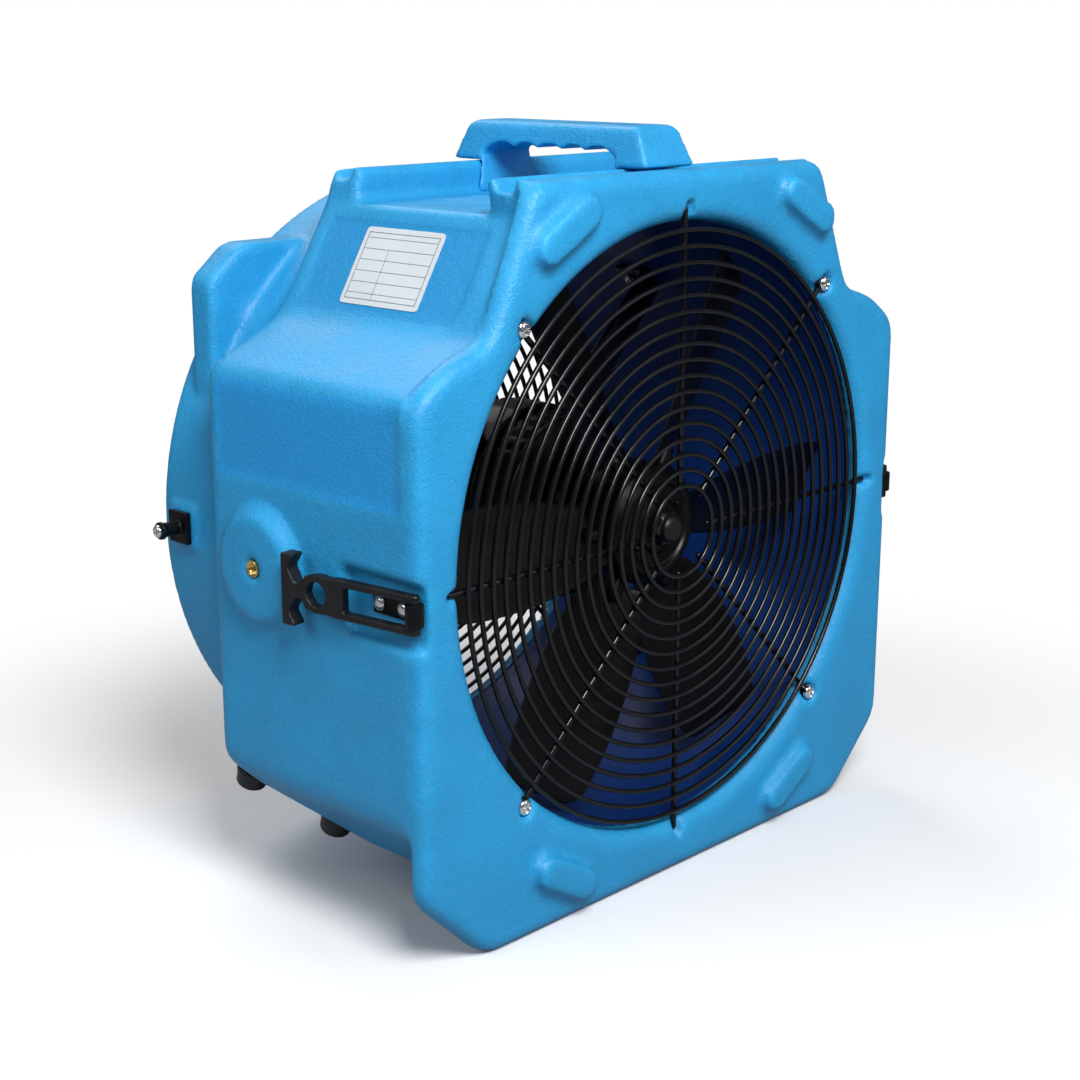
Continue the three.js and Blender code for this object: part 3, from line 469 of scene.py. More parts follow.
# ---------------------------------------------------------------- finishes
class Tree:
    """A shader tree that is written one node at a time."""

    def __init__(self, tree: bpy.types.NodeTree) -> None:
        """Keeps the tree."""
        self.tree = tree

    def add(self, kind: str, inputs: dict | None = None, **settings: object) -> bpy.types.Node:
        """Adds a node.

        Args:
            kind: the node's type.
            inputs: values for its sockets, or sockets to link to them, by name or number.
            settings: the node's own properties.

        Returns:
            The node.
        """
        node = self.tree.nodes.new(kind)
        for name, value in settings.items():
            setattr(node, name, value)
        for name, value in (inputs or {}).items():
            if isinstance(value, bpy.types.NodeSocket):
                self.tree.links.new(value, node.inputs[name])
            else:
                node.inputs[name].default_value = value
        return node

    def maths(self, operation: str, *values: object, clamp: bool = False) -> bpy.types.NodeSocket:
        """Adds a Math node and returns its result."""
        made = self.add("ShaderNodeMath", dict(enumerate(values)), operation=operation, use_clamp=clamp)
        return made.outputs[0]

    def blend(self, share: object, first: object, second: object) -> bpy.types.NodeSocket:
        """Mixes two colours and returns the result."""
        return self.add("ShaderNodeMix", {0: share, 6: first, 7: second}, data_type="RGBA").outputs[2]

    def ramp(self, value: object, low: float, high: float,
             to: tuple[float, float] = (0, 1)) -> bpy.types.NodeSocket:
        """Eases a value between two limits and returns the result."""
        inputs = {"Value": value, "From Min": low, "From Max": high, "To Min": to[0], "To Max": to[1]}
        return self.add("ShaderNodeMapRange", inputs, interpolation_type="SMOOTHSTEP").outputs[0]

    def place(self) -> bpy.types.NodeSocket:
        """The point's own place on the object."""
        return self.add("ShaderNodeTexCoord").outputs["Object"]

    def noise(self, scale: object, detail: float = 2.0, vector: object = None) -> bpy.types.NodeSocket:
        """Adds a noise texture and returns its value."""
        inputs = {"Vector": vector or self.place(), "Scale": scale, "Detail": detail}
        return self.add("ShaderNodeTexNoise", inputs).outputs["Fac"]


def shader_group(name: str, inputs: dict[str, float],
                 outputs: list[str]) -> tuple[bpy.types.NodeTree, Tree, dict, dict]:
    """An empty shader node group with named number sockets.

    Args:
        name: the group's name.
        inputs: each input's name and usual value.
        outputs: the outputs' names.

    Returns:
        The group, its tree, the inputs' sockets and the outputs' sockets by name.
    """
    group = bpy.data.node_groups.new(name, "ShaderNodeTree")
    for label, usual in inputs.items():
        socket = group.interface.new_socket(name=label, in_out="INPUT", socket_type="NodeSocketFloat")
        socket.default_value = usual
    for label in outputs:
        group.interface.new_socket(name=label, in_out="OUTPUT", socket_type="NodeSocketFloat")
    tree = Tree(group)
    entry = tree.add("NodeGroupInput")
    leave = tree.add("NodeGroupOutput")
    return group, tree, {k: entry.outputs[k] for k in inputs}, {k: leave.inputs[k] for k in outputs}


def grain_group() -> bpy.types.NodeTree:
    """Fine grain: Height is two sizes of noise added up, and Tone is a broad, slow noise."""
    sizes = {"Size": 1 * MM, "Broad": 60 * MM}
    group, tree, given, made = shader_group("fine_grain", sizes, ["Height", "Tone"])
    fine = tree.noise(tree.maths("DIVIDE", 1.0, given["Size"]), 3.0)
    coarse = tree.noise(tree.maths("DIVIDE", 0.3, given["Size"]), 2.0)
    tree.tree.links.new(tree.maths("MULTIPLY_ADD", coarse, 0.8, fine), made["Height"])
    broad = tree.noise(tree.maths("DIVIDE", 1.0, given["Broad"]), 3.0)
    tree.tree.links.new(tree.ramp(broad, 0.3, 0.7), made["Tone"])
    return group


def edge_wear_and_highlight_group() -> bpy.types.NodeTree:
    """Rubbed edges with a painted edge highlight: where the surface bulges, broken up by noise."""
    group, tree, given, made = shader_group("rubbed_edges", {"Reach": 0.05, "Break": 15 * MM}, ["Mask"])
    bulge = tree.add("ShaderNodeNewGeometry").outputs["Pointiness"]
    rise = tree.maths("DIVIDE", tree.maths("SUBTRACT", bulge, 0.5), given["Reach"], clamp=True)
    patches = tree.ramp(tree.noise(tree.maths("DIVIDE", 1.0, given["Break"]), 4.0), 0.35, 0.7)
    tree.tree.links.new(tree.maths("MULTIPLY", rise, patches), made["Mask"])
    return group


def dust_group() -> bpy.types.NodeTree:
    """Settled dust: thin on faces that look up, broken up by noise."""
    group, tree, given, made = shader_group("settled_dust", {"Amount": 0.2}, ["Mask"])
    normal = tree.add("ShaderNodeNewGeometry").outputs["Normal"]
    facing = tree.add("ShaderNodeSeparateXYZ", {0: normal}).outputs[2]
    specks = tree.ramp(tree.noise(90.0, 5.0), 0.4, 0.75)
    upward = tree.maths("MULTIPLY", tree.ramp(facing, 0.2, 1.0), given["Amount"])
    tree.tree.links.new(tree.maths("MULTIPLY", upward, specks), made["Mask"])
    return group


GROUPS = {"grain": grain_group(), "rub": edge_wear_and_highlight_group(), "dust": dust_group()}


@dataclass(frozen=True)
class Finish:
    """A surface finish with fine grain, slow changes of tone, edges lightened partly as wear and partly as
    painted highlight, and dust.
    """

    slot: Slot
    colour: tuple[float, float, float]
    roughness: float
    metallic: float = 0.0
    grain: float = 1 * MM
    depth: float = 0.05 * MM
    tone: float = 0.06
    polish: float = 0.06
    # How strongly bulging edges are lightened, partly as wear and partly as a painted highlight.
    rub: float = 0.1
    dust: float = 0.1
    coat: float = 0.0
    specular: float = 0.5

    def group(self, tree: Tree, name: str, **values: float) -> bpy.types.Node:
        """Places a shared effect with this finish's own values."""
        node = tree.add("ShaderNodeGroup", node_tree=GROUPS[name])
        for label, value in values.items():
            node.inputs[label].default_value = value
        return node

    def tinted(self, share: float) -> tuple[float, float, float, float]:
        """The colour made lighter or darker by a share."""
        return (*(min(1.0, channel * (1 + share)) for channel in self.colour), 1.0)

    def base(self, tree: Tree, tone: bpy.types.NodeSocket) -> bpy.types.NodeSocket:
        """The colour before rubbing and dust."""
        return tree.blend(tone, self.tinted(-self.tone), self.tinted(self.tone))

    def relief(self, tree: Tree, height: bpy.types.NodeSocket) -> bpy.types.NodeSocket:
        """The surface's fine height."""
        return height

    def material(self) -> bpy.types.Material:
        """Builds the finish's material."""
        made = bpy.data.materials.new(self.slot.value)
        made.use_nodes = True
        made.node_tree.nodes.clear()
        tree = Tree(made.node_tree)
        grain = self.group(tree, "grain", Size=self.grain)
        height, tone = grain.outputs["Height"], grain.outputs["Tone"]
        rub = self.group(tree, "rub").outputs["Mask"]
        dust = self.group(tree, "dust", Amount=self.dust).outputs["Mask"]
        colour = self.base(tree, tone)
        # Bulging edges are lightened towards a paler tint: partly wear, partly a painted highlight where
        # light catches the edges.
        colour = tree.blend(tree.maths("MULTIPLY", rub, self.rub), colour, self.tinted(0.9))
        colour = tree.blend(dust, colour, (0.5, 0.48, 0.45, 1.0))
        rough = tree.ramp(tone, 0.0, 1.0, (self.roughness - self.polish, self.roughness + self.polish))
        rough = tree.maths("MULTIPLY_ADD", dust, 0.3, rough, clamp=True)
        bump = tree.add("ShaderNodeBump", {
            "Strength": 1.0, "Distance": self.depth, "Height": self.relief(tree, height),
        })
        shader = tree.add("ShaderNodeBsdfPrincipled", {
            "Base Color": colour, "Roughness": rough, "Metallic": self.metallic,
            "Normal": bump.outputs[0], "Coat Weight": self.coat, "Specular IOR Level": self.specular,
        })
        tree.add("ShaderNodeOutputMaterial", {"Surface": shader.outputs[0]})
        return made


@dataclass(frozen=True)
class MouldedPlastic(Finish):
    """Sky-blue moulded plastic: pale flecks, films on both sides and a field round the label."""

    film_depths: tuple[float, float] = (17 * MM, 190 * MM)
    film_heights: tuple[float, float] = (51 * MM, 114 * MM)
    film_tone: tuple[float, float, float] = (0.01, 0.29, 0.68)
    field_depths: tuple[float, float] = (37 * MM, 184 * MM)
    field_heights: tuple[float, float] = (152 * MM, 207 * MM)
    field_tone: tuple[float, float, float] = (0.008, 0.25, 0.56)
    fleck_size: float = 0.9 * MM
    fleck_share: float = 0.16

    def within(self, tree: Tree, value: bpy.types.NodeSocket, low: float,
               high: float) -> bpy.types.NodeSocket:
        """1 between two limits and 0 outside, with a soft edge."""
        edge = 0.3 * MM
        rising = tree.ramp(value, low - edge, low + edge)
        falling = tree.ramp(value, high - edge, high + edge, (1, 0))
        return tree.maths("MULTIPLY", rising, falling)

    def base(self, tree: Tree, tone: bpy.types.NodeSocket) -> bpy.types.NodeSocket:
        """The plastic's colour, with its flecks and the tones of the films and the field."""
        plastic = super().base(tree, tone)
        x, y, z = tree.add("ShaderNodeSeparateXYZ", {0: tree.place()}).outputs
        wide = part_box("main_housing")[1].x
        sides = tree.maths("GREATER_THAN", tree.maths("ABSOLUTE", x), wide - 14 * MM)
        film = self.patch(tree, (y, z), self.film_depths, self.film_heights, sides)
        plastic = tree.blend(film, plastic, (*self.film_tone, 1.0))
        left = tree.maths("LESS_THAN", x, -wide / 2)
        field_mask = self.patch(tree, (y, z), self.field_depths, self.field_heights, left)
        plastic = tree.blend(field_mask, plastic, (*self.field_tone, 1.0))
        flecks = tree.ramp(tree.noise(1 / self.fleck_size, 2.0), 0.52, 0.72)
        return tree.blend(tree.maths("MULTIPLY", flecks, self.fleck_share), plastic, (0.25, 0.62, 0.95, 1.0))

    def patch(self, tree: Tree, place: tuple, depths: tuple, heights: tuple, where: bpy.types.NodeSocket,
              ) -> bpy.types.NodeSocket:
        """1 inside a patch given by depth and height from the front opening's middle, 0 outside."""
        deep = self.within(tree, place[0], *(LAYOUT.front + depth for depth in depths))
        high = self.within(tree, place[1], *(LAYOUT.axis_height + height for height in heights))
        return tree.maths("MULTIPLY", tree.maths("MULTIPLY", deep, high), where)


@dataclass(frozen=True)
class BrushedMetal(Finish):
    """Turned or drawn metal with fine lines across its axis."""

    stretch: float = 14.0

    def relief(self, tree: Tree, height: bpy.types.NodeSocket) -> bpy.types.NodeSocket:
        """Noise squeezed along the depth, so that it runs in rings."""
        squeezed = tree.add("ShaderNodeMapping", {"Vector": tree.place(), "Scale": (1, self.stretch, 1)})
        return tree.noise(0.25 / self.grain, 4.0, squeezed.outputs[0])


@dataclass(frozen=True)
class Winding(Finish):
    """Copper wire laid in close turns."""

    wire: float = 1.2 * MM

    def relief(self, tree: Tree, height: bpy.types.NodeSocket) -> bpy.types.NodeSocket:
        """Rounded ridges a wire apart along the depth."""
        inputs = {"Vector": tree.place(), "Scale": 0.314 / self.wire, "Distortion": 0.4}
        return tree.add("ShaderNodeTexWave", inputs, bands_direction="Y").outputs["Fac"]


@dataclass(frozen=True)
class LabelFilm(Finish):
    """A blank plate: a pale film with a ruled frame and empty rows."""

    rows: int = 7
    rule: float = 0.06
    column_at: float = 0.38
    column_half: float = 0.003
    column_top: float = 0.71
    frame_half: tuple[float, float] = (0.455, 0.435)
    frame_inner: tuple[float, float] = (0.447, 0.425)
    ink: tuple[float, float, float] = (0.12, 0.13, 0.15)

    def base(self, tree: Tree, tone: bpy.types.NodeSocket) -> bpy.types.NodeSocket:
        """The film's colour with thin ruled lines, by the plate's own map."""
        film = super().base(tree, tone)
        spot = tree.add("ShaderNodeUVMap", uv_map="plate").outputs[0]
        u, v, _ = tree.add("ShaderNodeSeparateXYZ", {0: spot}).outputs
        across, up = (tree.maths("ABSOLUTE", tree.maths("SUBTRACT", w, 0.5)) for w in (u, v))
        within_width = tree.maths("LESS_THAN", across, self.frame_half[0])
        inside = tree.maths("MULTIPLY", within_width, tree.maths("LESS_THAN", up, self.frame_half[1]))
        row = tree.maths("FRACT", tree.maths("MULTIPLY", v, float(self.rows)))
        ruled = tree.maths("LESS_THAN", row, self.rule)
        from_column = tree.maths("ABSOLUTE", tree.maths("SUBTRACT", u, self.column_at))
        column = tree.maths("LESS_THAN", from_column, self.column_half)
        below = tree.maths("LESS_THAN", v, self.column_top)
        lines = tree.maths("MAXIMUM", ruled, tree.maths("MULTIPLY", column, below))
        beyond_width = tree.maths("GREATER_THAN", across, self.frame_inner[0])
        rim = tree.maths("MAXIMUM", beyond_width, tree.maths("GREATER_THAN", up, self.frame_inner[1]))
        drawn = tree.maths("MULTIPLY", tree.maths("MAXIMUM", lines, rim), inside)
        return tree.blend(drawn, film, (*self.ink, 1.0))


FINISHES = (
    MouldedPlastic(Slot.HOUSING, (0.014, 0.29, 0.6), 0.4, grain=1.2 * MM, depth=0.5 * MM, tone=0.06,
                   rub=0.2, dust=0.03, specular=0.4),
    # The duct's dark blue is the housing plastic darkened: painted shade for the inside of the duct.
    Finish(Slot.DUCT, (0.003, 0.035, 0.19), 0.45, grain=1.6 * MM, depth=0.06 * MM, dust=0.0, specular=0.15),
    Finish(Slot.WIRE, (0.003, 0.003, 0.004), 0.2, grain=0.5 * MM, depth=0.02 * MM, tone=0.2, dust=0.0,
           specular=0.35),
    Finish(Slot.PLASTIC, (0.0025, 0.0025, 0.003), 0.36, grain=0.8 * MM, depth=0.04 * MM, tone=0.2, dust=0.0,
           specular=0.2),
    Finish(Slot.RUBBER, (0.004, 0.004, 0.005), 0.42, grain=0.4 * MM, depth=0.04 * MM, tone=0.25, rub=0.5,
           dust=0.02, specular=0.4),
    Finish(Slot.CHROME, (0.78, 0.79, 0.8), 0.12, metallic=1.0, grain=2 * MM, depth=0.01 * MM, tone=0.05,
           polish=0.03, rub=0.0, dust=0.0),
    BrushedMetal(Slot.STEEL, (0.5, 0.51, 0.53), 0.3, metallic=1.0, grain=0.4 * MM, depth=0.02 * MM),
    Finish(Slot.MOTOR, (0.004, 0.004, 0.005), 0.36, grain=1.4 * MM, depth=0.05 * MM, tone=0.2, dust=0.0,
           specular=0.3),
    Winding(Slot.COPPER, (0.62, 0.3, 0.13), 0.34, metallic=0.9, depth=0.5 * MM),
    BrushedMetal(Slot.BRASS, (0.8, 0.57, 0.2), 0.24, metallic=1.0, grain=0.4 * MM, depth=0.02 * MM),
    Finish(Slot.RED, (0.42, 0.012, 0.012), 0.28, grain=1 * MM, depth=0.02 * MM, coat=0.3),
    LabelFilm(Slot.LABEL, (0.6, 0.65, 0.69), 0.3, grain=1 * MM, depth=0.01 * MM, tone=0.02, rub=0.0,
              dust=0.02),
)
PAINTS = {finish.slot: finish.material() for finish in FINISHES}


def fitted(name: str, mesh: bpy.types.Mesh, body: Body, slot: Slot, *stands_for: str) -> bpy.types.Object:
    """Puts a finished mesh in the scene as a piece.

    Args:
        name: the piece's name.
        mesh: its mesh, already in place.
        body: the body it moves with.
        slot: the material slot it takes its finish from.
        stands_for: the CAD nodes it is shown in place of.

    Returns:
        The piece.
    """
    piece = bpy.data.objects.new(name, mesh)
    bpy.context.scene.collection.objects.link(piece)
    mesh.materials.clear()
    mesh.materials.append(PAINTS[slot])
    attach(piece, body.value)
    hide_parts(*stands_for)
    log.info("%s: %d faces on %s", name, len(mesh.polygons), body.value)
    return piece


def soft_piece(node: str, name: str, body: Body, slot: Slot, voxel: float, passes: int) -> None:
    """Puts a softened copy of a CAD node in the scene in its place."""
    fitted(name, softened(merged_copy([node], name), voxel, passes), body, slot, node)


# ---------------------------------------------------------------- sub-assemblies
@dataclass
class Housing:
    """The moulded body: front panel, main housing, rear shroud, carrying handle and duct sleeve."""

    voxel: float = 2.95 * MM
    passes: int = 2
    edge_reach: float = 17 * MM
    edge_passes: int = 34
    lap: float = 0.9 * MM
    facets: int = 48
    handle_voxel: float = 1.7 * MM
    handle_passes: int = 7
    half_width: float = 241.5 * MM
    pod_edges: tuple[float, float] = (118 * MM, -148 * MM)
    crown: tuple[float, float] = (180 * MM, 147 * MM)
    rim_margin: float = 24 * MM
    beyond: float = 1.0
    plateau: float = 1.4

    def edge_share(self, mesh: bpy.types.Mesh) -> np.ndarray:
        """1 on the pods' long edges and their rear edges, easing to 0 at a reach from them."""
        across, depth, up = points_of(mesh).T
        across, up = np.abs(across), up - LAYOUT.axis_height
        corner_places = [(self.half_width, up_edge) for up_edge in self.pod_edges] + [self.crown]
        distance = np.min([np.hypot(across - x, up - z) for x, z in corner_places], axis=0)
        inside_rim = np.maximum(LAYOUT.bore + self.rim_margin - np.hypot(across, up), 0)
        rear = np.hypot(depth - LAYOUT.shroud_front, inside_rim)
        behind_panel = np.clip((depth - LAYOUT.panel_back) / self.edge_reach, 0, 1)
        along = np.clip(self.plateau * (1 - distance / self.edge_reach), 0, 1) * behind_panel
        return np.maximum(along, np.clip(self.plateau * (1 - rear / (0.8 * self.edge_reach)), 0, 1))

    def shell(self) -> bpy.types.Mesh:
        """The three mouldings as one soft skin, so that its curves run on across the joints."""
        whole = merged_copy(["front_panel", "main_housing", "rear_shroud"], "body_skin", self.lap)
        skin = softened(whole, self.voxel, self.passes)
        eased(skin, self.edge_share(skin), self.edge_passes)
        rounded_out(skin, self.facets, LAYOUT.bore + 23 * MM, LAYOUT.bore + 32 * MM)
        return skin

    def sleeve(self) -> bpy.types.Mesh:
        """A thin round tube with eased lips: radius by depth, turned about the fan axis."""
        low, high = depths_of("duct_sleeve")
        inner, outer = LAYOUT.bore, LAYOUT.bore + SLEEVE_WALL
        ease = 1 * MM
        depths = np.linspace(low + ease, high - ease, 12)
        inside = [(inner, depth) for depth in depths]
        outside = [(outer, depth) for depth in depths[::-1]]
        rear_lip = [(inner + ease, high), (outer - ease, high)]
        profile = [(inner + ease, low)] + inside + rear_lip + outside + [(outer - ease, low)]
        grid = spun(profile, 192)
        return Surface().add_grid(grid, True, True).mesh("duct_wall")

    def build(self) -> None:
        """Makes the mouldings, the handle and the sleeve."""
        skin = self.shell()
        cuts = (-self.beyond, LAYOUT.panel_back, LAYOUT.shroud_front, self.beyond)
        nodes = ("front_panel", "main_housing", "rear_shroud")
        names = ("front_moulding", "body_moulding", "rear_moulding")
        for name, node, low, high in zip(names, nodes, cuts, cuts[1:]):
            fitted(name, slab(skin, name, low, high), Body.HOUSING, Slot.HOUSING, node)
        bpy.data.meshes.remove(skin)
        soft_piece("carry_handle", "handle_moulding", Body.HOUSING, Slot.HOUSING, self.handle_voxel,
                   self.handle_passes)
        # The sleeve takes the darkened duct blue, which is painted shade inside the duct.
        fitted("duct_wall", self.sleeve(), Body.HOUSING, Slot.DUCT, "duct_sleeve")


@dataclass
class Guard:
    """A wire guard: rings in front, eight spokes behind them, and eyes for the screws."""

    node: str
    inward: int
    rings: int = 17
    first_radius: float = 31 * MM
    rim_gap: float = 5 * MM
    ring_wire: float = 1.7 * MM
    spoke_wire: float = 2.0 * MM
    ring_depth: float = 3 * MM
    seat_margin: float = 10 * MM
    eye_radius: float = 4.4 * MM

    def depth(self, behind: float) -> float:
        """A depth behind the opening's face, from the front face of the body."""
        face = 0.0 if self.inward > 0 else LAYOUT.rear - LAYOUT.front
        return face + self.inward * behind

    def circle(self, centre: np.ndarray, radius: float, steps: int) -> np.ndarray:
        """Points round a circle square to the fan axis: centre + radius * (cos a, 0, sin a)."""
        angle = np.arange(steps) * 2 * np.pi / steps
        return centre + radius * np.stack([np.cos(angle), np.zeros(steps), np.sin(angle)], -1)

    def build(self, name: str) -> None:
        """Makes the wirework as one piece."""
        work = Surface()
        middle = LAYOUT.point(0, self.depth(self.ring_depth), 0)
        for radius in np.linspace(self.first_radius, LAYOUT.bore - self.rim_gap, self.rings):
            steps = int(24 * round(2 + radius / (40 * MM)))
            path = self.circle(middle, radius, steps)
            work.add_grid(swept(path, np.full(steps, self.ring_wire), True), True, True)
        behind = self.depth(self.ring_depth + self.ring_wire + self.spoke_wire - 0.5 * MM)
        seat = LAYOUT.bore + self.seat_margin
        for angle in UPRIGHTS:
            ends = (LAYOUT.about_axis(radius, angle, behind) for radius in (self.first_radius - 3 * MM, seat))
            work.add_grid(rod(*ends, self.spoke_wire), False, True)
        for angle in DIAGONALS:
            ends = (LAYOUT.about_axis(radius, angle, behind)
                    for radius in (self.first_radius - 3 * MM, seat - self.eye_radius))
            work.add_grid(rod(*ends, self.spoke_wire), False, True)
            eye = self.circle(LAYOUT.about_axis(seat, angle, behind), self.eye_radius, 28)
            work.add_grid(swept(eye, np.full(28, 0.8 * self.spoke_wire), True, 8), True, True)
        fitted(name, work.mesh(name), Body.HOUSING, Slot.WIRE, self.node)


@dataclass
class CrossScrew:
    """A pan-head screw with a cross recess, or a plain domed rivet where the recess is 0."""

    head: float = 5.5 * MM
    height: float = 3.6 * MM
    shank: float = 2.4 * MM
    recess: float = 1.9 * MM
    arm: float = 0.75 * MM
    reach: float = 3.2 * MM

    def sunk(self, across: np.ndarray, up: np.ndarray) -> np.ndarray:
        """How deep the cross lies at a place on the head.

        The depth eases to nothing past an arm's half width from the nearer cross line, and past
        the arms' reach along it, and gets shallower away from the middle.
        """
        near = np.minimum(np.abs(across), np.abs(up))
        far = np.maximum(np.abs(across), np.abs(up))
        ease = 0.5 * MM
        wall = np.clip((self.arm - near) / ease + 0.5, 0, 1)
        end = np.clip((self.reach - far) / ease + 0.5, 0, 1)
        return self.recess * wall * end * (1 - 0.35 * far / self.reach)

    def surface(self, seat: np.ndarray, axis: np.ndarray, length: float) -> Surface:
        """The screw's surface.

        The head is a quarter of a superellipse, height * (1 - (r / head)^3)^(1/2), turned about
        the axis; the cross is then pressed into it along the axis.

        Args:
            seat: the middle of the head's underside.
            axis: the direction of the shank.
            length: the shank's length.

        Returns:
            The surface.
        """
        share = np.linspace(0, 1, 26) ** 0.9
        rim = 0.22 * self.height
        dome = np.stack([share * self.head, -rim - (self.height - rim) * np.sqrt(1 - share**3)], -1)
        tail = [
            (self.head, -0.1 * MM), (self.head - 0.1 * MM, 0), (self.shank, 0),
            (self.shank, length - 1 * MM), (self.shank - 0.8 * MM, length), (0, length),
        ]
        profile = np.concatenate([dome, tail])
        grid = turned(profile, seat, axis, 72)
        across, up, along = axes_of(axis)
        local = grid[:26] - seat
        press = self.sunk(local @ across, local @ up)
        grid[:26] += press[..., None] * along
        return Surface().add_grid(grid, False, True)


@dataclass
class Fasteners:
    """The screws that hold the guards, keepers and motor mount, and the latches' rivets."""

    screw: CrossScrew = field(default_factory=CrossScrew)
    small: CrossScrew = field(default_factory=lambda: CrossScrew(
        4.2 * MM, 2.7 * MM, recess=1.3 * MM, arm=0.6 * MM, reach=2.4 * MM))
    rivet: CrossScrew = field(default_factory=lambda: CrossScrew(4.6 * MM, 2.6 * MM, 2 * MM, recess=0))

    def put(self, kind: CrossScrew, node: str, axis: tuple[float, float, float], slot: Slot) -> None:
        """Makes one fastener where its CAD node is, its shank along axis."""
        points = corners(node)
        along = np.array(axis, float) / np.linalg.norm(axis)
        heights = points @ along
        middle = points.mean(0)
        seat = middle + along * (heights.min() + kind.height - middle @ along)
        length = heights.max() - heights.min() - kind.height
        made = kind.surface(seat, along, length).mesh(node + "_turned")
        fitted(node + "_turned", made, Body.HOUSING, slot, node)

    def build(self) -> None:
        """Makes every screw and rivet."""
        for number, angle in enumerate(DIAGONALS, 1):
            self.put(self.screw, f"front_guard_screw_{number}", (0, 1, 0), Slot.CHROME)
            self.put(self.screw, f"rear_guard_screw_{number}", (0, -1, 0), Slot.CHROME)
            outward = (math.cos(angle), 0, math.sin(angle))
            self.put(self.screw, f"mount_screw_{number}", outward, Slot.STEEL)
        for hand, side in SIDES.items():
            self.put(self.small, f"keeper_screw_{hand}", (-side, 0, 0), Slot.CHROME)
            for number in (1, 2):
                self.put(self.rivet, f"latch_rivet_{hand}_{number}", (-side, 0, 0), Slot.CHROME)


